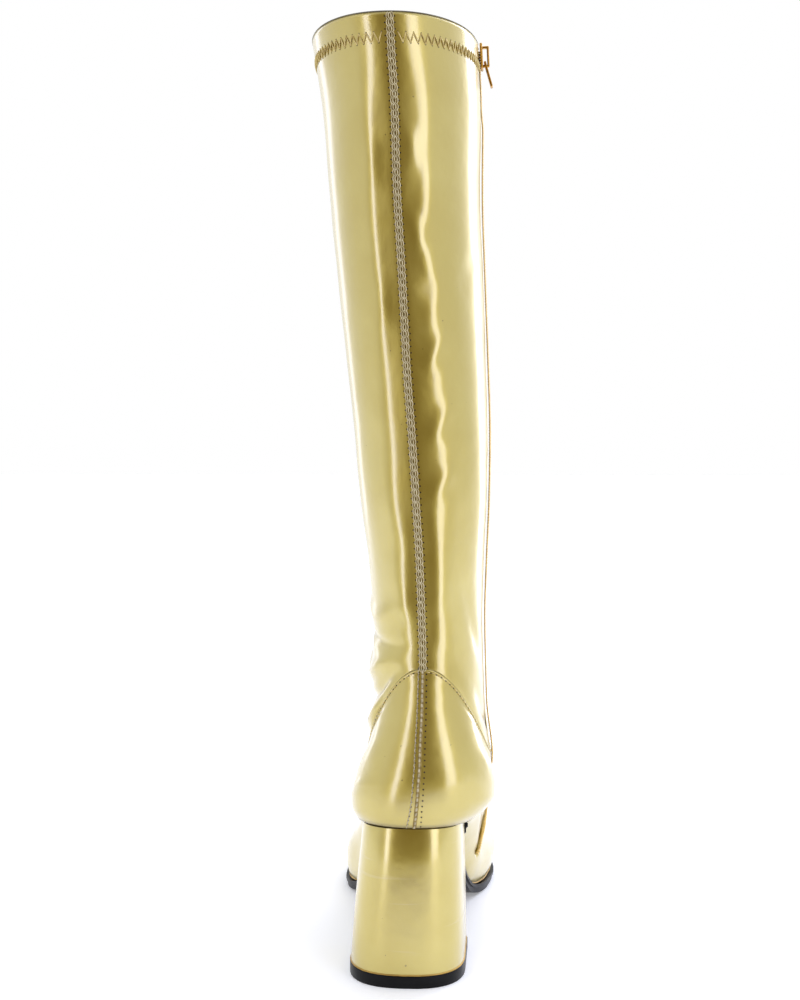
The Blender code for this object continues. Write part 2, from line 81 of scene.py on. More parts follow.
# Radii of the flat dark discs that paint the shade inside the needle holes
HOLE = 0.46 * MM
SMALL_HOLE = 0.42 * MM

# The feather line's height: share of the foot's length, share of the seat's rise
RISE = (
    (0.00, 1.000), (0.12, 0.965), (0.24, 0.840), (0.34, 0.625), (0.44, 0.350),
    (0.50, 0.175), (0.55, 0.065), (0.60, 0.015), (0.66, 0.000), (1.00, 0.000),
)
# Half widths along a foot ring: share of its length, of the heel's width, of the ball's on each side
PLAN = (
    (0.00, 1.00, 0.00, 0.00), (0.14, 1.00, 0.00, 0.00), (0.30, 0.64, 0.10, 0.22),
    (0.44, 0.31, 0.32, 0.45), (0.54, 0.17, 0.55, 0.68), (0.66, 0.00, 0.94, 0.97),
    (0.76, 0.00, 1.04, 0.95), (0.86, 0.00, 1.02, 0.84), (1.00, 0.00, 0.86, 0.62),
)
# The upper's rings from feather line to collar: back, front, back_up, front_up, dip, lift, follow,
# heel, ball, leg, gather, shift
RINGS = (
    (0.013, 0.987, 0.000, 0.000, 0.000, 0.00, 1.00, 0.83, 0.95, 0.000, 0.019, 0.022),
    (0.003, 1.000, 0.016, 0.018, 0.004, 0.00, 1.00, 0.93, 0.97, 0.030, 0.018, 0.045),
    (-0.001, 1.002, 0.035, 0.038, 0.010, 0.00, 0.97, 0.96, 0.95, 0.070, 0.015, 0.068),
    (-0.002, 0.985, 0.055, 0.061, 0.018, 0.00, 0.93, 0.90, 0.87, 0.130, 0.013, 0.078),
    (0.000, 0.933, 0.075, 0.084, 0.028, 0.00, 0.85, 0.76, 0.68, 0.260, 0.015, 0.086),
    (0.006, 0.846, 0.096, 0.107, 0.040, 0.00, 0.70, 0.60, 0.46, 0.400, 0.025, 0.088),
    (0.015, 0.742, 0.116, 0.123, 0.046, 0.05, 0.50, 0.42, 0.29, 0.530, 0.030, 0.090),
    (0.027, 0.625, 0.139, 0.138, 0.056, 0.20, 0.30, 0.25, 0.19, 0.610, 0.025, 0.092),
    (0.040, 0.525, 0.164, 0.146, 0.075, 0.50, 0.12, 0.12, 0.08, 0.665, 0.012, 0.092),
    (0.050, 0.440, 0.192, 0.173, 0.106, 0.90, 0.00, 0.00, 0.00, 0.725, 0.000, 0.092),
    (0.053, 0.406, 0.225, 0.210, 0.078, 1.00, 0.00, 0.00, 0.00, 0.660, 0.000, 0.092),
    (0.049, 0.394, 0.273, 0.273, 0.036, 1.00, 0.00, 0.00, 0.00, 0.648, 0.000, 0.088),
    (0.042, 0.392, 0.332, 0.332, 0.010, 1.00, 0.00, 0.00, 0.00, 0.685, 0.000, 0.080),
    (0.031, 0.398, 0.400, 0.400, 0.000, 1.00, 0.00, 0.00, 0.00, 0.745, 0.000, 0.065),
    (0.019, 0.417, 0.489, 0.489, 0.000, 1.00, 0.00, 0.00, 0.00, 0.790, 0.000, 0.048),
    (0.006, 0.446, 0.590, 0.590, 0.000, 1.00, 0.00, 0.00, 0.00, 0.828, 0.000, 0.016),
    (-0.006, 0.475, 0.691, 0.693, 0.000, 1.00, 0.00, 0.00, 0.00, 0.862, 0.000, -0.018),
    (-0.017, 0.500, 0.797, 0.801, 0.000, 1.00, 0.00, 0.00, 0.00, 0.895, 0.000, -0.050),
    (-0.027, 0.521, 0.904, 0.910, 0.000, 1.00, 0.00, 0.00, 0.00, 0.935, 0.000, -0.068),
    (-0.033, 0.533, 1.000, 1.008, 0.000, 1.00, 0.00, 0.00, 0.00, 0.988, 0.000, -0.110),
)
# How far the back seam wanders: ring, share of LEG_WIDTH
SEAM_SWAY = (
    (0.0, 0.026), (1.0, 0.012), (2.0, -0.002), (4.3, -0.008), (9.0, -0.005), (11.0, -0.010),
    (13.0, -0.012), (14.4, -0.020), (15.9, -0.003), (17.5, 0.009), (18.3, 0.014), (19.0, 0.032),
)

Numbers = np.ndarray | float


class Table:
    """Smooth curves through the rows of a table, keyed by its first column, that never overshoot."""

    def __init__(self, rows: Sequence[Sequence[float]]) -> None:
        """Works out the tangents.

        Args:
            rows: the table's rows, each a key and its values.
        """
        data = np.array(rows, dtype=float)
        self.keys = data[:, 0]
        self.values = data[:, 1:]
        slopes = np.diff(self.values, axis=0) / np.diff(self.keys)[:, None]
        before, after = slopes[:-1], slopes[1:]
        total = before + after
        harmonic = 2.0 * before * after / np.where(total == 0.0, 1.0, total)
        self.tangents = np.vstack((slopes[:1], np.where(before * after > 0.0, harmonic, 0.0), slopes[-1:]))

    def __call__(self, key: Numbers) -> np.ndarray:
        """Values of every column at the keys.

        Args:
            key: one key or an array of them.

        Returns:
            The values, with the columns as the last axis.
        """
        key = np.clip(key, self.keys[0], self.keys[-1])
        place = np.clip(np.searchsorted(self.keys, key, side="right") - 1, 0, len(self.keys) - 2)
        width = self.keys[place + 1] - self.keys[place]
        s = ((key - self.keys[place]) / width)[..., None]
        width = width[..., None]
        return (
            (2 * s**3 - 3 * s**2 + 1) * self.values[place]
            + (s**3 - 2 * s**2 + s) * width * self.tangents[place]
            + (3 * s**2 - 2 * s**3) * self.values[place + 1]
            + (s**3 - s**2) * width * self.tangents[place + 1]
        )


def round_end(distance: np.ndarray, length: float, power: float) -> np.ndarray:
    """Width share that grows from 0 at an end to 1 at a length from it."""
    inner = 1.0 - np.clip(distance / length, 0.0, 1.0)
    return (1.0 - inner**power) ** (1.0 / power)


def smooth(share: Numbers) -> np.ndarray:
    """Eased step from 0 to 1."""
    share = np.clip(share, 0.0, 1.0)
    return share * share * (3.0 - 2.0 * share)


def unit(vectors: np.ndarray) -> np.ndarray:
    """Vectors scaled to length 1."""
    return vectors / np.maximum(np.linalg.norm(vectors, axis=-1, keepdims=True), 1e-12)


class Upper:
    """The upper's surface: u runs round a ring from the back, v up the stack of rings."""

    STEP = 0.004

    def __init__(self) -> None:
        """Prepares the tables."""
        self.rings = Table([(i, *row) for i, row in enumerate(RINGS)])
        self.rise = Table(RISE)
        self.plan = Table(PLAN)
        self.sway = Table(SEAM_SWAY)

    def point(self, u: Numbers, v: Numbers) -> np.ndarray:
        """Point of the surface.

        Args:
            u: 0 at the back, 1 and -1 at the front, positive on the medial side.
            v: place in the stack of rings.

        Returns:
            Points with x, y, z as the last axis.
        """
        u, v = np.broadcast_arrays(np.asarray(u, float), np.asarray(v, float))
        u = np.where(u > 1.0, u - 2.0, np.where(u < -1.0, u + 2.0, u))
        row = np.moveaxis(self.rings(v), -1, 0)
        back, front, back_up, front_up, dip, lift, follow, heel, ball, leg, gather, shift = row
        t = np.abs(u) - gather * np.sin(np.pi * np.abs(u))
        s = (1.0 - np.cos(np.pi * t)) / 2.0
        side = np.where(u >= 0.0, 1.0, -1.0)
        along = back + (front - back) * s
        rise_back, rise_front = self.rise(back)[..., 0], self.rise(front)[..., 0]
        curve = self.rise(along)[..., 0] - (rise_back + (rise_front - rise_back) * s)
        height = BASE_HEIGHT + SEAT_RISE * (1.0 + (lift - 1.0) * s + follow * curve)
        past = np.clip((along - SPRING_START) / (1.0 - SPRING_START), 0.0, None)
        height = height + follow * TOE_SPRING * past**SPRING_POWER
        low = s ** (1.0 - DIP_BACK * follow)
        height = height + UPPER_HEIGHT * (back_up + (front_up - back_up) * s - dip * 4.0 * low * (1.0 - low))
        plan = self.plan(s)
        share = np.where(side > 0.0, plan[..., 1], plan[..., 2])
        half = heel * HEEL_WIDTH / 2 * plan[..., 0] + ball * BALL_WIDTH / 2 * share
        half = half * round_end(s, HEEL_CAP, HEEL_CAP_POWER) * round_end(1.0 - s, TOE_CAP, TOE_CAP_POWER)
        oval = np.clip(1.0 - np.abs(2.0 * s - 1.0) ** LEG_POWER, 0.0, 1.0) ** (1.0 / LEG_POWER)
        half = half + leg * LEG_WIDTH / 2 * oval
        swing = follow * smooth((s - SWING_START) / SWING_LENGTH)
        centre = UPPER_OFFSET + shift * LEG_WIDTH * (1.0 - swing) - BALL_SWING * swing
        return np.stack((centre + side * half, BACK_Y + FOOT_LENGTH * along, height), axis=-1)

    def slopes(self, u: Numbers, v: Numbers) -> tuple[np.ndarray, np.ndarray]:
        """Change of the surface with u and with v, which is held between the lowest and the highest ring."""
        u, v = np.broadcast_arrays(np.asarray(u, float), np.clip(v, 0.0, COLLAR))
        low, high = np.maximum(v - self.STEP, 0.0), np.minimum(v + self.STEP, COLLAR)
        along_u = (self.point(u + self.STEP, v) - self.point(u - self.STEP, v)) / (2 * self.STEP)
        along_v = (self.point(u, high) - self.point(u, low)) / (high - low)[..., None]
        return along_u, along_v

    def axes(self, u: Numbers, v: Numbers) -> tuple[np.ndarray, np.ndarray, np.ndarray]:
        """Unit directions at a place: up the surface, across it to larger u, and outwards."""
        along_u, along_v = self.slopes(u, v)
        up = unit(along_v)
        out = unit(np.cross(along_u, along_v))
        return up, np.cross(up, out), out

    def skin(self, u: Numbers, v: Numbers, proud: Numbers = 0.0) -> np.ndarray:
        """Point at a height above the surface."""
        out = self.axes(u, v)[2]
        return self.point(u, v) + np.asarray(proud)[..., None] * out

    def beside(self, u: Numbers, v: Numbers, distance: Numbers) -> np.ndarray:
        """The u at ring v at a distance from the column of u, square to that column."""
        along_u, along_v = self.slopes(u, v)
        area = np.linalg.norm(np.cross(along_u, along_v), axis=-1)
        return u + distance * np.linalg.norm(along_v, axis=-1) / area

    def above(self, u: Numbers, v: Numbers, distance: Numbers) -> np.ndarray:
        """The v at column u at a distance from the ring of v, square to that ring."""
        along_u, along_v = self.slopes(u, v)
        area = np.linalg.norm(np.cross(along_u, along_v), axis=-1)
        return v + distance * np.linalg.norm(along_u, axis=-1) / area

    def seam(self, v: Numbers) -> np.ndarray:
        """The u of the back seam's middle at ring v."""
        v = np.asarray(v, float)
        return self.beside(np.zeros_like(v), v, LEG_WIDTH * self.sway(v)[..., 0])


# Samples along a fold, and how many rings beyond its ends it is looked for
FOLD_SAMPLES = 40
FOLD_REACH = 2.5
# Slow unevenness of the leather: lumps per metre, height, seed
LUMPS = ((46.0, 0.20 * MM, 3.1), (21.0, 0.32 * MM, 7.7))


@dataclass(frozen=True)
class Fold:
    """A soft trough or ridge of the leather, along a smooth path.

    Attributes:
        path: places (u, v) that it passes.
        width: half width of its slope, in millimetres.
        height: height over the surface in millimetres, negative for a trough.
        fade: share of its length over which each end dies away.
    """

    path: tuple[tuple[float, float], ...]
    width: float
    height: float
    fade: float = 0.35

    def lift(self, upper: Upper, points: np.ndarray, part: np.ndarray) -> np.ndarray:
        """Height that the fold adds at points.

        Args:
            upper: the surface.
            points: points of the surface, one a row.
            part: the u and v of each point.

        Returns:
            One height a point.
        """
        keys = np.linspace(0.0, 1.0, len(self.path))
        track = Table([(key, *place) for key, place in zip(keys, self.path)])
        shares = np.linspace(0.0, 1.0, FOLD_SAMPLES)
        places = track(shares)
        line = upper.point(places[:, 0], places[:, 1])
        low, high = places[:, 1].min() - FOLD_REACH, places[:, 1].max() + FOLD_REACH
        near = np.where((part[:, 1] > low) & (part[:, 1] < high))[0]
        added = np.zeros(len(points))
        if not len(near):
            return added
        place = np.linalg.norm(points[near, None, :] - line[None, :, :], axis=-1).argmin(axis=1)
        way = np.gradient(line, axis=0)[place]
        reach = np.linalg.norm(way, axis=-1, keepdims=True)
        away = points[near] - line[place]
        along = np.clip(np.sum(away * way, axis=-1, keepdims=True) / reach**2, -0.5, 0.5)
        gap = np.linalg.norm(away - along * way, axis=-1)
        share = np.clip(shares[place] + along[:, 0] * shares[1], 0.0, 1.0)
        ends = smooth(share / self.fade) * smooth((1.0 - share) / self.fade)
        added[near] = self.height * MM * ends * np.exp(-((gap / (self.width * MM)) ** 2))
        return added


FOLDS = (
    # the hollows on both sides of the back seam and the swells beyond them
    Fold(((-0.045, 18.9), (-0.045, 16.5), (-0.050, 14.0), (-0.04, 12.2)), 6.0, -0.55, 0.2),
    Fold(((0.060, 18.9), (0.050, 16.8), (0.050, 14.5), (0.05, 12.6)), 7.0, -0.60, 0.2),
    Fold(((-0.10, 18.9), (-0.11, 16.0), (-0.14, 13.6), (-0.12, 12.0)), 5.0, 0.35, 0.2),
    Fold(((0.15, 18.9), (0.13, 17.0), (0.085, 16.3), (0.12, 15.8), (0.09, 14.8)), 5.5, 0.50, 0.2),
    Fold(((0.032, 13.4), (0.030, 11.5), (0.032, 9.6)), 3.0, -0.40, 0.2),
    Fold(((-0.035, 13.0), (-0.032, 11.6), (-0.035, 10.9)), 3.0, -0.40, 0.25),
    # the branches that run up to the zip
    Fold(((0.05, 14.7), (0.11, 15.0), (0.18, 15.3)), 4.5, 0.85),
    Fold(((0.05, 13.8), (0.11, 14.1), (0.19, 14.5)), 4.5, 0.75),
    Fold(((0.05, 13.0), (0.11, 13.3), (0.18, 13.6)), 4.5, 0.70),
    Fold(((0.22, 15.6), (0.30, 16.0), (0.38, 16.2)), 6.0, -0.35),
    Fold(((0.050, 17.7), (0.058, 17.35), (0.060, 17.0)), 5.0, 0.80, 0.45),
    Fold(((0.045, 16.75), (0.060, 16.4), (0.065, 16.1)), 4.8, 0.90, 0.45),
    Fold(((-0.085, 17.6), (-0.080, 17.2), (-0.085, 16.8)), 4.5, 0.45, 0.45),
    Fold(((-0.090, 16.0), (-0.085, 15.6), (-0.090, 15.2)), 4.5, 0.45, 0.45),
    Fold(((0.10, 15.95), (0.10, 15.75), (0.11, 15.5)), 4.5, -0.50, 0.45),
    # the folds above and round the ankle
    Fold(((-0.80, 11.6), (-0.60, 11.5), (-0.44, 11.25), (-0.25, 11.0), (-0.04, 11.0)), 4.0, 1.1, 0.28),
    Fold(((-0.80, 11.0), (-0.60, 11.0), (-0.42, 10.85), (-0.26, 10.55), (-0.05, 9.9)), 2.6, -1.5, 0.28),
    Fold(((-0.80, 10.7), (-0.60, 10.6), (-0.45, 10.38), (-0.30, 10.25), (-0.05, 9.55)), 4.2, 2.4, 0.28),
    Fold(((-0.80, 10.1), (-0.60, 10.05), (-0.44, 9.95), (-0.28, 9.75), (-0.08, 9.3)), 2.8, -2.8, 0.28),
    Fold(((-0.80, 9.7), (-0.60, 9.65), (-0.44, 9.55), (-0.32, 9.35), (-0.22, 9.2)), 3.4, 2.1, 0.22),
    Fold(((-0.13, 13.2), (-0.14, 11.8), (-0.09, 10.9), (-0.03, 10.4)), 5.5, 0.55),
    Fold(((0.09, 12.8), (0.09, 11.6), (0.06, 10.6)), 6.0, 0.55),
    Fold(((0.20, 12.0), (0.30, 11.0), (0.40, 10.4)), 5.0, -0.70),
    Fold(((0.30, 10.0), (0.42, 9.6), (0.54, 9.5)), 4.0, -0.80),
    Fold(((0.62, 11.0), (0.80, 10.6), (1.00, 10.4)), 4.5, -1.3),
    Fold(((0.62, 10.3), (0.80, 9.9), (1.00, 9.7)), 5.0, 1.1),
    Fold(((-0.98, 10.4), (-0.76, 10.6), (-0.56, 11.1)), 4.5, -1.3),
    Fold(((-0.98, 9.7), (-0.76, 9.9), (-0.56, 10.4)), 5.0, 1.1),
    Fold(((0.66, 12.4), (0.84, 12.1), (1.00, 12.0)), 7.0, -0.6),
    Fold(((-0.96, 12.0), (-0.80, 12.3), (-0.62, 12.8)), 7.0, -0.6),
    # the foot: the throat above the toes, the heel cup and the sides
    Fold(((0.66, 7.4), (0.84, 7.2), (1.00, 7.1)), 6.0, -0.7),
    Fold(((-0.98, 7.1), (-0.82, 7.2), (-0.64, 7.5)), 6.0, -0.7),
    Fold(((-0.30, 7.8), (-0.22, 5.6), (-0.16, 3.0)), 9.0, -0.5),
    Fold(((0.22, 7.4), (0.20, 5.2), (0.15, 3.0)), 9.0, -0.5),
)


def relief(upper: Upper, u: np.ndarray, v: np.ndarray, points: np.ndarray) -> np.ndarray:
    """Height of the folds and of the leather's slow unevenness over the plain surface.

    Args:
        upper: the surface.
        u: place round the ring, one a point.
        v: place in the stack, one a point.
        points: the plain surface's points, one a row.

    Returns:
        One height a point.
    """
    part = np.stack((u, v), axis=-1)
    height = np.zeros(len(points))
    for fold in FOLDS:
        height += fold.lift(upper, points, part)
    for size, amount, seed in LUMPS:
        shift = Vector((seed, seed, seed))
        height += amount * np.array([noise.noise(Vector(p) * size + shift) for p in points])
    calm = smooth((COLLAR - v) / 0.5) * smooth(np.abs(v - SEAM) / 0.12)
    return height * np.where(v < SEAM, smooth(v / 0.8), 1.0) * calm


class Socket:
    """A shader socket with arithmetic: an expression on values adds its Math nodes."""

    def __init__(self, tree: "Shader", socket: bpy.types.NodeSocket) -> None:
        """Keeps the socket and the tree it belongs to."""
        self.tree = tree
        self.socket = socket

    def math(self, operation: str, *values: "Socket | float") -> "Socket":
        """The result of a Math node on this value and others."""
        node = self.tree.node("ShaderNodeMath", {"operation": operation})
        for i, value in enumerate((self, *values)):
            self.tree.feed(node.inputs[i], value)
        return Socket(self.tree, node.outputs[0])

    def __add__(self, other: "Socket | float") -> "Socket":
        """Sum."""
        return self.math("ADD", other)

    __radd__ = __add__

    def __mul__(self, other: "Socket | float") -> "Socket":
        """Product."""
        return self.math("MULTIPLY", other)

    __rmul__ = __mul__

    def step(self, low: float, high: float) -> "Socket":
        """0 below low, 1 above high, and eased between them."""
        node = self.tree.node("ShaderNodeMapRange", {"interpolation_type": "SMOOTHSTEP"})
        self.tree.feed(node.inputs["Value"], self)
        for name, value in (("From Min", low), ("From Max", high), ("To Min", 0.0), ("To Max", 1.0)):
            node.inputs[name].default_value = value
        return Socket(self.tree, node.outputs[0])


Value = Socket | float | tuple[float, ...]


class Shader:
    """A node material built through one method for every node."""

    def __init__(self, name: str) -> None:
        """Starts an empty node material with its Principled shader."""
        self.material = bpy.data.materials.new(name)
        self.material.use_nodes = True
        self.nodes = self.material.node_tree.nodes
        self.links = self.material.node_tree.links
        self.surface = self.nodes["Principled BSDF"]

    def node(self, kind: str, settings: dict | None = None, **values: Value) -> bpy.types.Node:
        """Adds a node.

        Args:
            kind: the node's type.
            settings: the node's own settings, set first.
            values: numbers, colours or links for its sockets, by name with _ for a space.

        Returns:
            The node.
        """
        node = self.nodes.new(kind)
        for key, value in (settings or {}).items():
            setattr(node, key, value)
        for key, value in values.items():
            self.feed(node.inputs[key.replace("_", " ")], value)
        return node

    def feed(self, socket: bpy.types.NodeSocket, value: Value) -> None:
        """Links a value to a socket, or sets it there."""
        if isinstance(value, Socket):
            self.links.new(value.socket, socket)
        else:
            socket.default_value = value

    def coordinates(self, scale: tuple[float, float, float] = (1.0, 1.0, 1.0)) -> Socket:
        """Object coordinates, scaled."""
        place = self.node("ShaderNodeTexCoord")
        mapping = self.node("ShaderNodeMapping", Scale=scale)
        self.links.new(place.outputs["Object"], mapping.inputs["Vector"])
        return Socket(self, mapping.outputs[0])

    def noise(self, size: float, detail: float = 3.0, stretch: tuple[float, float, float] = (1.0, 1.0, 1.0)) -> Socket:
        """Noise between 0 and 1 with lumps of about 1 / size metres."""
        node = self.node("ShaderNodeTexNoise", None, Vector=self.coordinates(stretch), Scale=size, Detail=detail)
        return Socket(self, node.outputs[0])

    def attribute(self, name: str) -> Socket:
        """A number stored on the piece's points."""
        node = self.node("ShaderNodeAttribute", {"attribute_name": name})
        return Socket(self, node.outputs["Fac"])

    def mix(self, factor: Socket | float, first: Value, second: Value) -> Socket:
        """Blend of two colours."""
        node = self.node("ShaderNodeMix", {"data_type": "RGBA"})
        self.feed(node.inputs[0], factor)
        for index, value in ((6, first), (7, second)):
            self.feed(node.inputs[index], (*value, 1.0) if isinstance(value, tuple) else value)
        return Socket(self, node.outputs[2])

    def bump(self, height: Socket, distance: float) -> None:
        """Bumps the surface by a height between 0 and 1 times a distance."""
        node = self.node("ShaderNodeBump", None, Strength=1.0, Distance=distance, Height=height)
        self.links.new(node.outputs[0], self.surface.inputs["Normal"])

    def finish(self, **values: Value) -> bpy.types.Material:
        """Sets the Principled shader's sockets and gives the material."""
        for key, value in values.items():
            if isinstance(value, tuple):
                value = (*value, 1.0)
            self.feed(self.surface.inputs[key.replace("_", " ")], value)
        return self.material


Colour = tuple[float, float, float]


@dataclass(frozen=True)
class GoldPatent:
    """Gold metallic patent leather: a metal coloured base under a clear glossy coat."""

    name: str = "gold_patent"
    colour: Colour = (0.575, 0.465, 0.105)
    deep: Colour = (0.53, 0.415, 0.075)
    metallic: float = 0.92
    roughness: float = 0.30
    coat: float = 1.0
    coat_roughness: float = 0.17
    coat_ior: float = 1.95
    depth: float = 0.00045
    stain_and_sole_dark: Colour = (0.10, 0.07, 0.02)
    # colour of the darkened band along the sole
    sole_dark: Colour = (0.10, 0.065, 0.015)
    worn: Colour = (0.80, 0.72, 0.45)
    scuff: bool = False

    def build(self) -> bpy.types.Material:
        """The material."""
        sh = Shader(self.name)
        cloud = sh.noise(30.0, 4.0)
        grain = sh.noise(1500.0, 2.0)
        specks = sh.noise(420.0, 1.0).step(0.80, 0.825)
        base = sh.mix(cloud.step(0.30, 0.75), self.deep, self.colour)
        base = sh.mix(specks * 0.55, base, self.stain_and_sole_dark)
        # darker and less glossy in a narrow band along the sole, by a number stored on the points
        sole_darkening = sh.attribute("sole_darkening")
        base = sh.mix(sole_darkening * 0.85, base, self.sole_dark)
        rough = self.roughness + cloud * 0.06 + grain * 0.05 + sole_darkening * 0.3
        if self.scuff:
            line = sh.noise(60.0, 2.0, (0.3, 0.3, 5.0)).step(0.64, 0.72)
            rough = rough + line * 0.12
            base = sh.mix(line * 0.12, base, self.worn)
        waves = sh.noise(70.0, 2.0) * 0.8 + grain * 0.05 + sh.noise(260.0, 2.0) * 0.15
        sh.bump(waves, self.depth)
        return sh.finish(
            Base_Color=base, Metallic=self.metallic, Roughness=rough, Coat_Weight=self.coat,
            Coat_Roughness=self.coat_roughness, Coat_IOR=self.coat_ior,
        )


@dataclass(frozen=True)
class Thread:
    """Twisted thread or a metallised braid."""

    name: str
    colour: Colour
    dark: Colour
    metallic: float = 0.35
    roughness: float = 0.45
    depth: float = 0.00012
    twist: float = 130.0

    def build(self) -> bpy.types.Material:
        """The material."""
        sh = Shader(self.name)
        wave = sh.node(
            "ShaderNodeTexWave", {"wave_type": "BANDS", "bands_direction": "DIAGONAL"},
            Vector=sh.coordinates(), Scale=self.twist, Distortion=1.2, Detail=1.0,
        )
        strand = Socket(sh, wave.outputs["Fac"])
        base = sh.mix(strand * 0.6 + sh.noise(500.0, 2.0) * 0.3, self.dark, self.colour)
        sh.bump(strand, self.depth)
        return sh.finish(Base_Color=base, Metallic=self.metallic, Roughness=self.roughness)


@dataclass(frozen=True)
class Moulded:
    """A plain moulded, cut or cast surface with fine unevenness: rubber, metal, lining or floor."""

    name: str
    colour: Colour
    second: Colour
    metallic: float = 0.0
    roughness: float = 0.4
    size: float = 60.0
    grain: float = 1200.0
    depth: float = 0.0001
    vary: float = 0.1
    shine: float = 0.5
    glow: float = 0.0

    def build(self) -> bpy.types.Material:
        """The material."""
        sh = Shader(self.name)
        cloud = sh.noise(self.size, 4.0)
        fine = sh.noise(self.grain, 3.0)
        base = sh.mix(cloud.step(0.3, 0.7), self.second, self.colour)
        sh.bump(fine * 0.6 + cloud * 0.4, self.depth)
        return sh.finish(
            Base_Color=base, Metallic=self.metallic,
            Roughness=self.roughness + fine * self.vary, Specular_IOR_Level=self.shine,
            Emission_Color=(1.0, 1.0, 1.0), Emission_Strength=self.glow,
        )


class Finish(Enum):
    """The finishes of the boot's pieces."""

    GOLD = GoldPatent()
    HEEL_GOLD = GoldPatent(name="heel_gold_patent", scuff=True, roughness=0.24)
    CUT_EDGE = Moulded("cut_edge", (0.20, 0.18, 0.11), (0.10, 0.09, 0.06), roughness=0.75, grain=2400.0)
    LINING = Moulded("lining", (0.40, 0.36, 0.28), (0.30, 0.27, 0.20), roughness=0.85, grain=2600.0, depth=0.0003)
    RUBBER = Moulded("black_sole", (0.003, 0.0033, 0.004), (0.0015, 0.0015, 0.002), roughness=0.30, depth=0.00015,
                     shine=0.16)
    BRASS = Moulded("brass", (0.66, 0.37, 0.07), (0.48, 0.25, 0.04), metallic=1.0, roughness=0.20, vary=0.15)
    COIL = Moulded("zip_coil", (0.84, 0.60, 0.18), (0.60, 0.38, 0.08), metallic=0.75, roughness=0.35, size=500.0)
    TAPE = Thread("zip_tape_weave", (0.55, 0.41, 0.14), (0.28, 0.19, 0.06), metallic=0.15, roughness=0.75)
    BRAID = Thread("seam_braid", (0.82, 0.74, 0.47), (0.50, 0.42, 0.21), metallic=0.4, roughness=0.38)
    SEAM_TAPE = Thread("seam_tape", (0.42, 0.31, 0.09), (0.22, 0.15, 0.03), metallic=0.2, roughness=0.6)
    PALE_THREAD = Thread("pale_thread", (0.66, 0.60, 0.42), (0.36, 0.30, 0.16), metallic=0.1, roughness=0.55)
    GOLD_THREAD = Thread("gold_thread", (0.82, 0.68, 0.30), (0.50, 0.37, 0.11), metallic=0.3, roughness=0.5)
    EDGE_INK = Moulded("edge_line", (0.62, 0.40, 0.09), (0.40, 0.24, 0.05), metallic=0.5, roughness=0.4)
    # painted shade: a flat dark colour that stands for the shade inside the needle holes
    HOLE = Moulded("needle_hole_shade", (0.05, 0.035, 0.012), (0.03, 0.02, 0.01), roughness=0.8)
    FLOOR = Moulded("floor", (0.90, 0.915, 0.93), (0.88, 0.895, 0.91), roughness=0.55, size=2.0, depth=0.0, glow=0.25)

    def material(self) -> bpy.types.Material:
        """The finish's material, built once."""
        made = bpy.data.materials.get(self.value.name)
        return made or self.value.build()


def from_bmesh(name: str, bm: bmesh.types.BMesh) -> bpy.types.Mesh:
    """A mesh of a bmesh's faces; the bmesh is freed."""
    mesh = bpy.data.meshes.new(name)
    bm.to_mesh(mesh)
    bm.free()
    return mesh


def add_object(name: str, data: bpy.types.ID) -> bpy.types.Object:
    """An object with its data, in the scene."""
    obj = bpy.data.objects.new(name, data)
    bpy.context.scene.collection.objects.link(obj)
    return obj


def place_object(name: str, mesh: bpy.types.Mesh, *finishes: Finish) -> bpy.types.Object:
    """Puts a mesh in the scene, shaded smooth.

    Args:
        name: the object's name.
        mesh: its mesh.
        finishes: its finishes, one a material slot.

    Returns:
        The object.
    """
    for finish in finishes:
        mesh.materials.append(finish.material())
    mesh.shade_smooth()
    return add_object(name, mesh)


def settle(obj: bpy.types.Object, replaced: Sequence[str] = (), body: str = BOOT) -> bpy.types.Object:
    """Makes an object a piece of the boot and logs it.

    Args:
        obj: the object, in place.
        replaced: the CAD nodes that it stands for.
        body: the CAD body that it rides on.

    Returns:
        The object.
    """
    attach(obj, body)
    if replaced:
        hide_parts(*replaced)
    LOG.info("%s on %s, %d faces", obj.name, body, len(obj.data.polygons))
    return obj


def add_piece(name: str, mesh: bpy.types.Mesh, finish: Finish, slot: str, *replaced: str) -> bpy.types.Object:
    """A piece of one finish on the boot's body."""
    return settle(place_object(name, mesh, finish), replaced)


def grid_mesh(
    name: str, columns: int, rows: int, lay: Callable[[np.ndarray, np.ndarray], np.ndarray],
    sole_darkening: Callable[[np.ndarray, np.ndarray], np.ndarray] | None = None, joined: bool = False,
) -> bpy.types.Mesh:
    """A grid whose points are laid on a surface.

    Args:
        name: the mesh's name.
        columns: cells across.
        rows: cells up.
        lay: gives the points for shares across and up.
        sole_darkening: gives how much darker and less glossy each point is made, 0 to 1.
        joined: whether touching edges are merged.

    Returns:
        The mesh, facing the way that across and up turn.
    """
    bm = bmesh.new()
    bmesh.ops.create_grid(bm, x_segments=columns, y_segments=rows, size=0.5)
    flat = np.array([vert.co[:2] for vert in bm.verts]) + 0.5
    across = np.round(flat[:, 0] * columns) / columns
    up = np.round(flat[:, 1] * rows) / rows
    points = lay(across, up)
    sole_dark = bm.verts.layers.float.new("sole_darkening")
    stain_and_sole_dark = sole_darkening(across, up) if sole_darkening else np.zeros(len(points))
    for vert, point, amount in zip(bm.verts, points, stain_and_sole_dark):
        vert.co = point
        vert[sole_dark] = float(amount)
    if joined:
        bmesh.ops.remove_doubles(bm, verts=bm.verts[:], dist=0.02 * MM)
    return from_bmesh(name, bm)


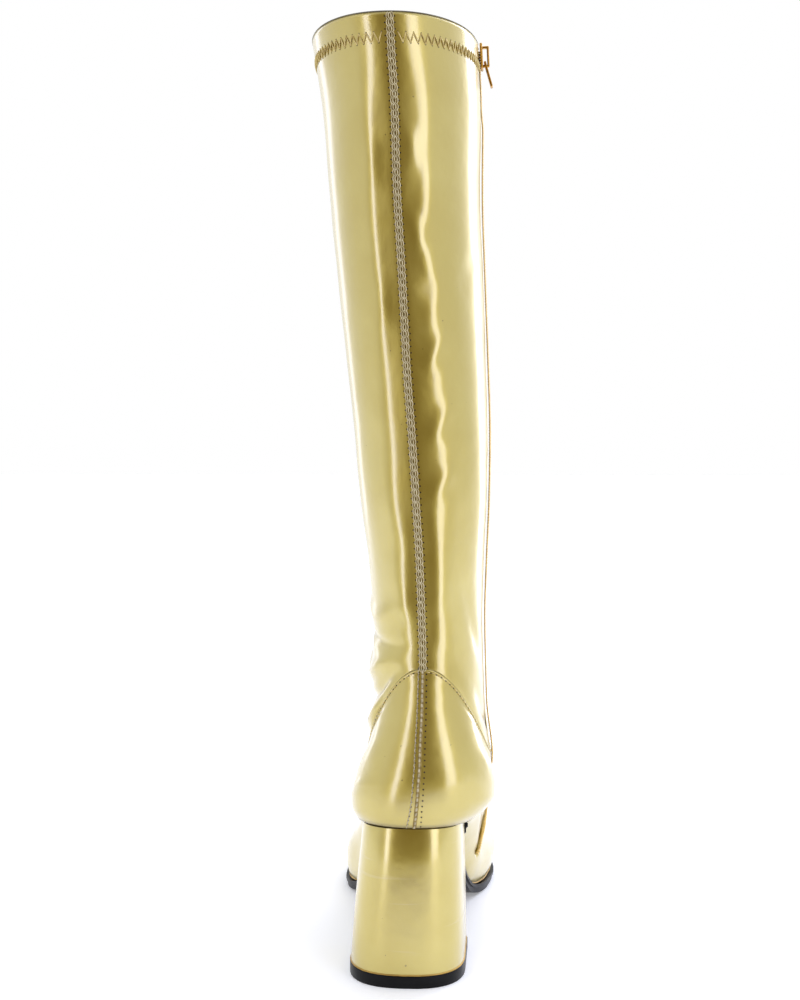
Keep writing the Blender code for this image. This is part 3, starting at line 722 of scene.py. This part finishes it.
def add_tubes(
    name: str, paths: Sequence[np.ndarray], radius: float, finish: Finish, slot: str, *replaced: str,
    closed: bool = False, ends: float = 1.0,
) -> None:
    """A piece of round tubes along paths.

    Args:
        name: the piece's name.
        paths: one array of points for each tube.
        radius: the tubes' radius.
        finish: their finish.
        slot: not used.
        replaced: the CAD nodes that they stand for.
        closed: whether each path closes on itself.
        ends: share of the radius left at a tube's ends.
    """
    curve = bpy.data.curves.new(name, "CURVE")
    curve.dimensions = "3D"
    curve.bevel_depth = radius
    curve.bevel_resolution = 1
    curve.use_fill_caps = True
    for path in paths:
        spline = curve.splines.new("POLY")
        spline.points.add(len(path) - 1)
        flat = np.ones((len(path), 4))
        flat[:, :3] = path
        spline.points.foreach_set("co", flat.ravel())
        spline.use_cyclic_u = closed
        if not closed:
            spline.points[0].radius = spline.points[-1].radius = ends
    obj = add_object(name, curve)
    bpy.context.view_layer.update()
    mesh = bpy.data.meshes.new_from_object(obj.evaluated_get(bpy.context.evaluated_depsgraph_get()))
    bpy.data.objects.remove(obj)
    bpy.data.curves.remove(curve)
    mesh.name = name
    add_piece(name, mesh, finish, slot, *replaced)


def track(upper: Upper, places: Callable[[np.ndarray], tuple[np.ndarray, np.ndarray]], pitch: float,
          proud: float = 0.0) -> tuple[np.ndarray, np.ndarray]:
    """Evenly spaced places along a line on the surface.

    Args:
        upper: the surface.
        places: gives u and v for shares of the line.
        pitch: distance between places.
        proud: height over the surface at which the distance is measured.

    Returns:
        The u and the v of each place.
    """
    shares = np.linspace(0.0, 1.0, 1600)
    u, v = places(shares)
    points = upper.skin(u, v, proud)
    run = np.concatenate(([0.0], np.cumsum(np.linalg.norm(np.diff(points, axis=0), axis=1))))
    count = max(2, round(run[-1] / pitch))
    return places(np.interp(np.linspace(0.0, run[-1], count + 1), run, shares))


def wrap(u: np.ndarray) -> np.ndarray:
    """A u beyond the front brought back to the other side."""
    return np.where(u > 1.0, u - 2.0, u)


class Side(Enum):
    """The two edges of the zip's slot."""

    BACK = -1
    FRONT = 1


@dataclass
class LeatherUpper:
    """Foot and shaft: two leather sheets from one edge of the zip's slot round to the other."""

    upper: Upper
    foot_columns: int = 230
    foot_rows: int = 150
    shaft_columns: int = 210
    shaft_rows: int = 200
    slot_round: float = 0.45
    roll: float = 0.10 * MM
    groove: float = 0.10 * MM
    stitch_line: float = 1.4 * MM
    turn_in: float = 1.3 * MM
    edge_drop: float = 0.45 * MM
    roll_place: float = 0.75 * MM
    roll_width: float = 0.6 * MM
    groove_width: float = 0.35 * MM
    foot_gap: float = 0.004
    shaft_gap: float = 0.008
    crowding: float = 1.35
    # how much darker and less glossy the foot is made at the sole, and over how many rings that fades
    sole_darkening: float = 0.8
    darkening_reach: float = 0.22

    def slot_edge(self, v: np.ndarray, side: Side) -> np.ndarray:
        """The u of an edge of the zip's slot at ring v."""
        open_share = np.clip((v - ZIP_END) / self.slot_round, 0.0, 1.0)
        half = ZIP_SLOT / 2 * np.sqrt(1.0 - (1.0 - open_share) ** 2)
        return self.upper.beside(np.full_like(v, ZIP_PLACE), v, side.value * half)

    def place(self, across: np.ndarray, v: np.ndarray) -> np.ndarray:
        """The u at a share of the way round from the slot's front edge to its back edge."""
        front, back = self.slot_edge(v, Side.FRONT), self.slot_edge(v, Side.BACK)
        return wrap(front + across * (2.0 - (front - back)))

    def edge_gap(self, across: np.ndarray, u: np.ndarray, v: np.ndarray) -> np.ndarray:
        """Distance from the nearer edge of the slot."""
        along_u = np.linalg.norm(self.upper.slopes(u, v)[0], axis=-1)
        return np.where(v > ZIP_END, np.minimum(across, 1.0 - across) * 2.0 * along_u, 1.0)

    def foot_v(self, up: np.ndarray) -> np.ndarray:
        """The foot's v at a share of its rows, closer together at its top edge."""
        return SEAM * (1.0 - (1.0 - up) ** self.crowding) - self.foot_gap

    def lay(self, across: np.ndarray, v: np.ndarray, proud: float) -> np.ndarray:
        """Points of the dressed leather's face.

        Args:
            across: share of the way round from the slot's front edge.
            v: place in the stack of rings.
            proud: the sheet's height over the plain surface.

        Returns:
            The points.
        """
        u = self.place(across, v)
        points = self.upper.point(u, v)
        along_u, along_v = self.upper.slopes(u, v)
        cross = np.cross(along_u, along_v)
        height = proud + relief(self.upper, u, v, points)
        turned = 1.0 - smooth(self.edge_gap(across, u, v) / self.turn_in)
        height = height - self.edge_drop * turned
        if proud > 0.0:
            gap = (SEAM - v) * np.linalg.norm(cross, axis=-1) / np.linalg.norm(along_u, axis=-1)
            height = height + self.roll * np.exp(-(((gap - self.roll_place) / self.roll_width) ** 2))
            height = height - self.groove * np.exp(-(((gap - self.stitch_line) / self.groove_width) ** 2))
            height = height - self.edge_drop * (1.0 - smooth(gap / self.edge_drop))
        return points + height[:, None] * unit(cross)

    def build_foot(self) -> None:
        """The foot panel."""
        # the foot is darker and less glossy in a narrow band along the sole
        mesh = grid_mesh(
            "foot_leather", self.foot_columns, self.foot_rows,
            lambda across, up: self.lay(across, self.foot_v(up), FOOT_PROUD),
            lambda across, up: self.sole_darkening * np.exp(-((self.foot_v(up) / self.darkening_reach) ** 2)), joined=True,
        )
        obj = place_object("foot_leather", mesh, Finish.GOLD, Finish.LINING, Finish.CUT_EDGE)
        self.wall(obj, FOOT_WALL, 0)
        settle(obj, ("foot_upper",))

    def build_shaft(self) -> None:
        """The shaft panel, with the collar's cut edge."""
        low = SEAM + self.shaft_gap
        mesh = grid_mesh(
            "shaft_leather", self.shaft_columns, self.shaft_rows,
            lambda across, up: self.lay(across, low + (COLLAR - low) * up, 0.0),
        )
        obj = place_object("shaft_leather", mesh, Finish.GOLD, Finish.LINING, Finish.CUT_EDGE)
        self.wall(obj, SHAFT_WALL, 2)
        settle(obj, ("shaft",))

    def wall(self, obj: bpy.types.Object, thickness: float, rim: int) -> None:
        """Gives a sheet its wall, with lining inside and its rim in the material of that place."""
        step = obj.modifiers.new("wall", "SOLIDIFY")
        step.thickness = thickness
        step.offset = -1.0
        step.material_offset = 1
        step.material_offset_rim = rim

    def build(self) -> None:
        """Both panels."""
        self.build_foot()
        self.build_shaft()


@dataclass
class BackSeam:
    """The seam up the back: a chain braid on the shaft and a narrow taped seam on the heel."""

    upper: Upper
    pitch: float = 3.1 * MM
    ring_width: float = 0.68 * MM
    ring_length: float = 1.40 * MM
    scallop: float = 1.72 * MM
    cord: float = 0.27 * MM
    band: float = 3.4 * MM
    hole_row: float = 2.35 * MM
    tape: float = 1.9 * MM
    dash: float = 2.4 * MM
    row_high: float = 1.9 * MM
    row_low: float = 3.0 * MM
    hole_pitch: float = 2.8 * MM
    let_in: float = 0.25 * MM
    ring_rise: float = 0.75 * MM
    ring_wave: float = 0.12 * MM
    scallop_rise: float = 0.30 * MM
    dot: float = 0.48 * MM
    thread: float = 0.26 * MM
    bow: float = 0.45 * MM

    def line(self, low: float, high: float) -> Callable[[np.ndarray], tuple[np.ndarray, np.ndarray]]:
        """The seam's course between two rings."""

        def places(share: np.ndarray) -> tuple[np.ndarray, np.ndarray]:
            """Places at shares of the course."""
            v = low + (high - low) * share
            return self.upper.seam(v), v

        return places

    def strip(self, name: str, width: float, low: float, high: float, proud: float, crown: float,
              rows: int) -> bpy.types.Mesh:
        """A crowned strip along the seam, its edges let into the leather.

        Args:
            name: the mesh's name.
            width: the strip's width.
            low: ring at its lower end.
            high: ring at its upper end.
            proud: height of its edges over the surface, before they are let in.
            crown: how much higher its middle is.
            rows: cells up.

        Returns:
            The mesh.
        """

        def lay(across: np.ndarray, up: np.ndarray) -> np.ndarray:
            """The strip's points."""
            v = low + (high - low) * up
            place = (across - 0.5) * 2.0
            u = self.upper.beside(self.upper.seam(v), v, place * width / 2)
            rise = proud + crown * np.sqrt(np.clip(1.0 - place**4, 0.0, 1.0)) - self.let_in
            return self.upper.skin(u, v, rise)

        return grid_mesh(name, 8, rows, lay)

    def loops(self, u: np.ndarray, v: np.ndarray) -> tuple[list[np.ndarray], list[np.ndarray]]:
        """Paths of the chain's rings and of its side scallops.

        Args:
            u: place round the ring of each link.
            v: place in the stack of each link.

        Returns:
            The rings' paths and the scallops' paths.
        """
        up, across, out = self.upper.axes(u, v)
        middle = self.upper.point(u, v)
        turn = np.linspace(0.0, 2.0 * np.pi, 13)[:-1]
        arc = np.linspace(-np.pi / 2, np.pi / 2, 8)
        high = self.ring_rise + self.ring_wave * np.cos(2 * turn)
        wide = self.ring_width * 0.9 + (self.scallop - self.ring_width * 0.9) * np.cos(arc)
        rise = self.scallop_rise * (1.0 + np.sin(arc) ** 2)
        rings, scallops = [], []
        for i in range(len(v)):
            rings.append(
                middle[i] + np.outer(np.cos(turn) * self.ring_width, across[i])
                + np.outer(np.sin(turn) * self.ring_length, up[i]) + np.outer(high, out[i])
            )
            for side in Side:
                scallops.append(
                    middle[i] + np.outer(side.value * wide, across[i])
                    + np.outer(np.sin(arc) * self.pitch * 0.56, up[i]) + np.outer(rise, out[i])
                )
        return rings, scallops

    def build(self) -> None:
        """Every piece of the seam."""
        band = self.strip("seam_band", self.band, SEAM + 0.02, COLLAR - 0.02, 0.35 * MM, 0.25 * MM, 220)
        add_piece("seam_band", band, Finish.SEAM_TAPE, "back_seam", "back_seam")
        u, v = track(self.upper, self.line(SEAM + 0.06, COLLAR - 0.06), self.pitch)
        rings, scallops = self.loops(u, v)
        add_tubes("seam_chain", rings, self.cord, Finish.BRAID, "back_seam", closed=True)
        add_tubes("seam_scallops", scallops, self.cord, Finish.BRAID, "back_seam", ends=0.7)
        for name, row in (("left", -self.hole_row), ("right", self.hole_row)):
            row_u = self.upper.beside(u, v, row)
            hole_shade_discs("seam_hole_shades_" + name, self.upper, row_u, v, 0.0, "back_seam", SMALL_HOLE)
        self.build_heel_seam()

    def build_heel_seam(self) -> None:
        """The narrow tape on the heel, its dotted middle and the rows on its two sides."""
        tape = self.strip("heel_seam_tape", self.tape, 0.02, SEAM - 0.02, FOOT_PROUD + 0.2 * MM, 0.35 * MM, 90)
        add_piece("heel_seam_tape", tape, Finish.SEAM_TAPE, "heel_seam", "heel_seam")
        u, v = track(self.upper, self.line(0.15, SEAM - 0.1), self.dash)
        up, across, out = self.upper.axes(u, v)
        middle = self.upper.skin(u, v, FOOT_PROUD + 0.42 * MM)
        offset = self.row_low + (self.row_high - self.row_low) * v / SEAM
        side_u = self.upper.beside(u, v, -offset)
        left = self.upper.skin(side_u, v, FOOT_PROUD + 0.12 * MM)
        reach = np.linspace(-0.5, 0.5, 5)
        bend = np.cos(reach * np.pi) * self.bow
        dots, waves = [], []
        for i in range(len(v)):
            dots.append(middle[i] + np.outer(reach * self.dash * 0.78, up[i]))
            waves.append(
                left[i] + np.outer(reach * self.dash * 0.92, up[i]) + np.outer(-bend, across[i])
                + np.outer(np.cos(reach * np.pi) * 0.2 * MM - 0.1 * MM, out[i])
            )
        add_tubes("heel_seam_dots", dots, self.dot, Finish.PALE_THREAD, "heel_seam", ends=0.5)
        add_tubes("heel_seam_thread", waves, self.thread, Finish.PALE_THREAD, "heel_seam", ends=0.7)
        right_u, right_v = track(self.upper, self.beside_line, self.hole_pitch)
        left_u, left_v = self.upper.beside(side_u, v, -0.1 * MM), self.upper.above(side_u, v, self.dash / 2)
        hole_shade_discs(
            "heel_seam_hole_shades", self.upper, np.concatenate((right_u, left_u)), np.concatenate((right_v, left_v)),
            FOOT_PROUD, "heel_seam",
        )

    def beside_line(self, share: np.ndarray) -> tuple[np.ndarray, np.ndarray]:
        """The course of the row of holes on the medial side."""
        v = 0.15 + (SEAM - 0.35) * share
        offset = self.row_low + (self.row_high - self.row_low) * v / SEAM
        return self.upper.beside(self.upper.seam(v), v, offset), v


def hole_shade_discs(name: str, upper: Upper, u: np.ndarray, v: np.ndarray, proud: float, slot: str,
                 radius: float = HOLE) -> None:
    """Small flat dark discs at places on the surface: painted shade for the insides of needle holes.

    Args:
        name: the piece's name.
        upper: the surface.
        u: place round the ring of each hole.
        v: place in the stack of each hole.
        proud: height of the leather's face.
        slot: not used.
        radius: the holes' radius.
    """
    up, across, out = upper.axes(u, v)
    points = upper.skin(u, v, proud + relief(upper, u, v, upper.point(u, v)) + 0.05 * MM)
    bm = bmesh.new()
    for i in range(len(u)):
        axes = Matrix((across[i], up[i], out[i])).transposed().to_4x4()
        place = Matrix.Translation(points[i]) @ axes
        bmesh.ops.create_circle(bm, cap_ends=True, cap_tris=False, segments=8, radius=radius, matrix=place)
    add_piece(name, from_bmesh(name, bm), Finish.HOLE, slot)


@dataclass
class Stitching:
    """The stitches on the leather: the zigzag hem under the rim and the dashes on the foot's top edge."""

    upper: Upper
    hem_drop: float = 12.4 * MM
    hem_swing: float = 2.6 * MM
    hem_pitch: float = 3.9 * MM
    hem_thread: float = 0.34 * MM
    edge_drop: float = 1.25 * MM
    edge_pitch: float = 2.9 * MM
    edge_thread: float = 0.30 * MM
    margin: float = 4.4 * MM
    hem_clear: float = 2.4 * MM
    edge_clear: float = 1.6 * MM

    def row(self, ring: float, drop: float, pitch: float, lower: float = 0.0) -> tuple[np.ndarray, np.ndarray]:
        """Places at a distance under a ring, all round from one side of the zip to the other.

        Args:
            ring: the ring.
            drop: distance under it.
            pitch: distance between places.
            lower: how many rings lower the gap at the zip is measured.

        Returns:
            The u and the v of each place.
        """
        half = float(self.upper.beside(ZIP_PLACE, ring - lower, self.margin)) - ZIP_PLACE
        start, end = ZIP_PLACE + half, ZIP_PLACE + 2.0 - half

        def places(share: np.ndarray) -> tuple[np.ndarray, np.ndarray]:
            """Places at shares of the row."""
            u = wrap(start + (end - start) * share)
            return u, self.upper.above(u, np.full_like(u, ring), -drop)

        return track(self.upper, places, pitch)

    def off_seam(self, u: np.ndarray, v: np.ndarray, distance: float) -> np.ndarray:
        """Which places are further than a distance from the back seam."""
        return np.abs(u - self.upper.seam(v)) * 2.0 * LEG_WIDTH > distance

    def surface(self, u: np.ndarray, v: np.ndarray, proud: float) -> np.ndarray:
        """Points over the dressed leather."""
        return self.upper.skin(u, v, proud + relief(self.upper, u, v, self.upper.point(u, v)))

    def build_hem(self) -> None:
        """The zigzag all round under the rim, in pale gold thread, with flat dark discs as painted shade for its
        needle holes.
        """
        u, v = self.row(COLLAR, self.hem_drop, self.hem_pitch / 2, 0.3)
        swing = np.where(np.arange(len(u)) % 2 == 0, 1.0, -1.0) * self.hem_swing
        v = self.upper.above(u, v, swing)
        free = self.off_seam(u, v, self.hem_clear)
        knots = self.surface(u, v, 0.02 * MM)
        out = self.upper.axes(u, v)[2]
        share = np.linspace(0.0, 1.0, 5)
        paths = []
        for i in range(len(u) - 1):
            if free[i] and free[i + 1]:
                line = knots[i] + np.outer(share, knots[i + 1] - knots[i])
                paths.append(line + np.outer(np.sin(share * np.pi) * self.hem_thread, out[i]))
        add_tubes("hem_zigzag", paths, self.hem_thread, Finish.GOLD_THREAD, "shaft", ends=0.75)
        hole_shade_discs("hem_hole_shades", self.upper, u[free], v[free], 0.0, "shaft", SMALL_HOLE)

    def build_edge(self) -> None:
        """The row of dashes under the foot's folded top edge."""
        u, v = self.row(SEAM, self.edge_drop, self.edge_pitch)
        far = self.off_seam(u, v, self.edge_clear)
        middle = self.surface(u, v, FOOT_PROUD - 0.02 * MM)
        out = self.upper.axes(u, v)[2]
        ahead = unit(np.roll(middle, -1, axis=0) - middle)
        ahead[-1] = ahead[-2]
        reach = np.linspace(-0.5, 0.5, 5)
        paths = [
            middle[i] + np.outer(reach * self.edge_pitch * 0.56, ahead[i])
            + np.outer(np.cos(reach * np.pi) * 0.22 * MM - 0.08 * MM, out[i])
            for i in range(len(u)) if far[i]
        ]
        add_tubes("foot_edge_stitches", paths, self.edge_thread, Finish.GOLD_THREAD, "foot_upper", ends=0.6)
        hole_u = u + np.roll(u, -1)
        keep = far[:-1] & (np.abs(np.diff(u)) < 0.5)
        hole_shade_discs(
            "foot_edge_hole_shades", self.upper, hole_u[:-1][keep] / 2, ((v + np.roll(v, -1)) / 2)[:-1][keep],
            FOOT_PROUD, "foot_upper",
        )

    def build(self) -> None:
        """Both rows."""
        self.build_hem()
        self.build_edge()


@dataclass
class Zip:
    """The zip's coil, in two rows of small turns that mesh, on its tape."""

    upper: Upper
    pitch: float = 1.5 * MM
    half: float = 2.45 * MM
    wire: float = 0.42 * MM
    proud: float = 0.75 * MM
    top_margin: float = 2.6 * MM
    pull_start: float = 17.8
    low: float = 1.78
    overlap: float = 0.3 * MM
    arch: float = 0.50 * MM
    slant: float = -0.55 * MM

    def build(self) -> None:
        """Both rows, as one piece."""
        top = float(self.upper.above(ZIP_PLACE, COLLAR, -self.top_margin))
        u, v = track(
            self.upper, lambda share: (np.full_like(share, ZIP_PLACE), self.low + (top - self.low) * share),
            self.pitch,
        )
        up, across, out = self.upper.axes(u, v)
        under_pull = smooth((v - self.pull_start) / 0.35)
        middle = self.upper.skin(u, v, self.proud * (1.0 - 1.15 * under_pull))
        turn = np.linspace(0.0, 1.0, 5)
        arch = np.sin(turn * np.pi * 0.85 + 0.25) * self.arch
        slant = (turn - 0.5) * self.slant
        paths = []
        for i in range(len(v) - 1):
            for side in Side:
                start = middle[i] if side is Side.FRONT else (middle[i] + middle[i + 1]) / 2
                reach = side.value * (turn * (self.half + self.overlap) - self.overlap)
                paths.append(start + np.outer(reach, across[i]) + np.outer(slant, up[i]) + np.outer(arch, out[i]))
        add_tubes("zip_coil", paths, self.wire, Finish.COIL, "zip_teeth", "zip_teeth", ends=0.8)


@dataclass(frozen=True)
class Dressed:
    """A CAD solid shown as a copy with softened edges.

    Attributes:
        node: the CAD node.
        finish: its finish.
        edge: width of its softened edges.
        body: the body that it rides on.
    """

    node: str
    finish: Finish
    edge: float
    body: str = BOOT

    def build(self) -> bpy.types.Object:
        """The dressed copy."""
        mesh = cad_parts[self.node].data.copy()
        mesh.name = self.node + "_dressed"
        mesh.materials.clear()
        bm = bmesh.new()
        bm.from_mesh(mesh)
        bmesh.ops.remove_doubles(bm, verts=bm.verts[:], dist=0.01 * MM)
        bmesh.ops.recalc_face_normals(bm, faces=bm.faces[:])
        bm.to_mesh(mesh)
        bm.free()
        obj = place_object(self.node + "_dressed", mesh, self.finish)
        mesh.set_sharp_from_angle(angle=math.radians(50.0))
        soft = obj.modifiers.new("edge", "BEVEL")
        soft.width = self.edge
        soft.segments = 3
        soft.limit_method = "ANGLE"
        soft.angle_limit = math.radians(50.0)
        soft.harden_normals = False
        return settle(obj, (self.node,), self.body)


@dataclass
class EdgeLines:
    """The dark cut rim and the thin orange-gold lines where the gold meets the black rubber."""

    upper: Upper
    wire: float = 0.42 * MM
    lift_wire: float = 0.36 * MM
    rim_wire: float = 0.42 * MM

    def build(self) -> None:
        """The line round the sole's top, the rim and the line over the top lift."""
        u = wrap(np.linspace(0.40, 1.60, 200))
        sole = self.upper.skin(u, np.full_like(u, 0.05), np.full_like(u, FOOT_PROUD))
        add_tubes("sole_line", [sole], self.wire, Finish.EDGE_INK, "foot_upper")
        half = float(self.upper.beside(ZIP_PLACE, COLLAR, ZIP_SLOT / 2 + 0.6 * MM)) - ZIP_PLACE
        u = wrap(np.linspace(ZIP_PLACE + half, ZIP_PLACE + 2.0 - half, 260))
        rim = self.upper.skin(u, np.full_like(u, COLLAR), np.full_like(u, -0.30 * MM))
        add_tubes("rim_cut_edge", [rim], self.rim_wire, Finish.CUT_EDGE, "shaft")
        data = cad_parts["heel_block"].data
        points = np.array([vert.co[:] for vert in data.vertices])
        foot = points[points[:, 2] < points[:, 2].min() + 0.05 * MM]
        middle = (foot.min(axis=0) + foot.max(axis=0)) / 2
        turns = np.arctan2(foot[:, 1] - middle[1], foot[:, 0] - middle[0])
        ring = foot[np.unique(np.round(turns, 3), return_index=True)[1]]
        add_tubes("top_lift_line", [ring], self.lift_wire, Finish.EDGE_INK, "heel_block", closed=True)


# Soft lights: name, azimuth, distance, height, size, power
SOFTBOXES = (
    ("strip_left", -38.0, 1.6, 0.45, (0.26, 2.5), 6.6),
    ("strip_right", 42.0, 1.6, 0.45, (0.54, 2.5), 9.6),
    ("edge_right", 146.0, 1.6, 0.60, (0.4, 1.9), 9.0),
    ("edge_left", -142.0, 1.6, 0.60, (0.3, 1.9), 2.0),
    ("overhead", 150.0, 0.9, 2.0, (1.6, 1.6), 12.0),
)


@dataclass
class Studio:
    """White floor, light and camera."""

    width: int = 800
    height: int = 1000
    camera_yaw: float = 4.5
    camera_distance: float = 0.665
    camera_height: float = 0.264
    camera_aim: tuple[float, float] = (0.0025, -0.028)
    lens: float = 49.32
    table_back: float = 0.30
    cool: tuple[float, float, float] = (0.93, 0.98, 1.35)
    centre: tuple[float, float] = (-0.0086, -0.055)
    dark_until: tuple[float, float] = (-0.88, -0.30)
    dark_side: tuple[float, ...] = (0.21, 0.145, 0.03, 1.0)
    bright_side: tuple[float, ...] = (0.93, 0.94, 0.95, 1.0)

    def build_floor(self) -> None:
        """The pale floor, a table top that ends short of the camera."""
        bm = bmesh.new()
        bmesh.ops.create_grid(bm, x_segments=1, y_segments=1, size=6.0)
        bmesh.ops.translate(bm, vec=(0.0, 6.0 - self.table_back, 0.0), verts=bm.verts[:])
        floor = place_object("floor", from_bmesh("floor", bm), Finish.FLOOR)

    def build_world(self) -> None:
        """White seen directly; in reflections bright all round and dim behind the camera."""
        world = bpy.data.worlds.new("studio")
        bpy.context.scene.world = world
        world.use_nodes = True
        nodes, links = world.node_tree.nodes, world.node_tree.links
        nodes.clear()
        out, seen, around, path, choose, place, split, fall, tint = (
            nodes.new("ShaderNode" + kind) for kind in (
                "OutputWorld", "Background", "Background", "LightPath", "MixShader", "TexCoord", "SeparateXYZ",
                "MapRange", "Mix",
            )
        )
        seen.inputs["Color"].default_value = (1.0, 1.0, 1.0, 1.0)
        seen.inputs["Strength"].default_value = 1.0
        fall.interpolation_type = "SMOOTHSTEP"
        for name, value in zip(("From Min", "From Max", "To Min", "To Max"), (*self.dark_until, 0.0, 1.0)):
            fall.inputs[name].default_value = value
        tint.data_type = "RGBA"
        tint.inputs[6].default_value = self.dark_side
        tint.inputs[7].default_value = self.bright_side
        for start, end in (
            (place.outputs["Generated"], split.inputs[0]), (split.outputs["Y"], fall.inputs["Value"]),
            (fall.outputs[0], tint.inputs[0]), (tint.outputs[2], around.inputs["Color"]),
            (path.outputs["Is Camera Ray"], choose.inputs[0]), (around.outputs[0], choose.inputs[1]),
            (seen.outputs[0], choose.inputs[2]), (choose.outputs[0], out.inputs["Surface"]),
        ):
            links.new(start, end)

    def softbox(self, name: str, azimuth: float, distance: float, height: float, size: tuple[float, float],
                power: float) -> None:
        """A soft rectangular light that faces the boot.

        Args:
            name: the light's name.
            azimuth: degrees from straight behind the boot, positive to its right.
            distance: distance from the boot.
            height: height of its middle.
            size: its width and height.
            power: its power in watts.
        """
        light = bpy.data.lights.new(name, "AREA")
        light.shape = "RECTANGLE"
        light.size, light.size_y = size
        light.energy = power
        light.color = self.cool
        obj = add_object(name, light)
        turn = math.radians(azimuth)
        obj.location = (distance * math.sin(turn), -distance * math.cos(turn), height)
        facing = Vector((0.0, 0.0, 0.24)) - obj.location
        obj.rotation_euler = facing.to_track_quat("-Z", "Y").to_euler()

    def build_lights(self) -> None:
        """Tall strips at both sides of the camera and a broad light overhead."""
        for box in SOFTBOXES:
            self.softbox(*box)

    def build_camera(self) -> None:
        """The photograph's camera."""
        turn = math.radians(self.camera_yaw)
        data = bpy.data.cameras.new("camera")
        data.sensor_fit = "VERTICAL"
        data.sensor_height = 36.0
        data.sensor_width = 36.0 * self.width / self.height
        data.lens = self.lens
        data.shift_x, data.shift_y = self.centre
        data.dof.use_dof = False
        camera = add_object("camera", data)
        camera.location = (
            self.camera_aim[0] + math.sin(turn) * self.camera_distance,
            self.camera_aim[1] - math.cos(turn) * self.camera_distance,
            self.camera_height,
        )
        camera.rotation_euler = Vector((-math.sin(turn), math.cos(turn), 0.0)).to_track_quat("-Z", "Y").to_euler()
        bpy.context.scene.camera = camera

    def build(self) -> None:
        """Everything round the boot."""
        self.build_floor()
        self.build_world()
        self.build_lights()
        self.build_camera()
        bpy.context.scene.view_settings.view_transform = "Standard"
        bpy.context.scene.view_settings.look = "None"


SOLIDS = (
    Dressed("outsole", Finish.RUBBER, 0.6 * MM),
    Dressed("heel_block", Finish.HEEL_GOLD, 0.9 * MM),
    Dressed("top_lift", Finish.RUBBER, 0.5 * MM),
    Dressed("insole", Finish.LINING, 0.3 * MM),
    Dressed("zip_tape", Finish.TAPE, 0.1 * MM),
    Dressed("zip_slider", Finish.BRASS, 0.2 * MM),
    Dressed("zip_pull_tab", Finish.BRASS, 0.2 * MM, PULL),
)


def main() -> None:
    """Builds the pieces in order."""
    logging.basicConfig(level=logging.INFO, format="%(message)s")
    upper = Upper()
    LeatherUpper(upper).build()
    BackSeam(upper).build()
    Stitching(upper).build()
    Zip(upper).build()
    EdgeLines(upper).build()
    for solid in SOLIDS:
        solid.build()
    Studio().build()


if __name__ == "__main__":
    main()
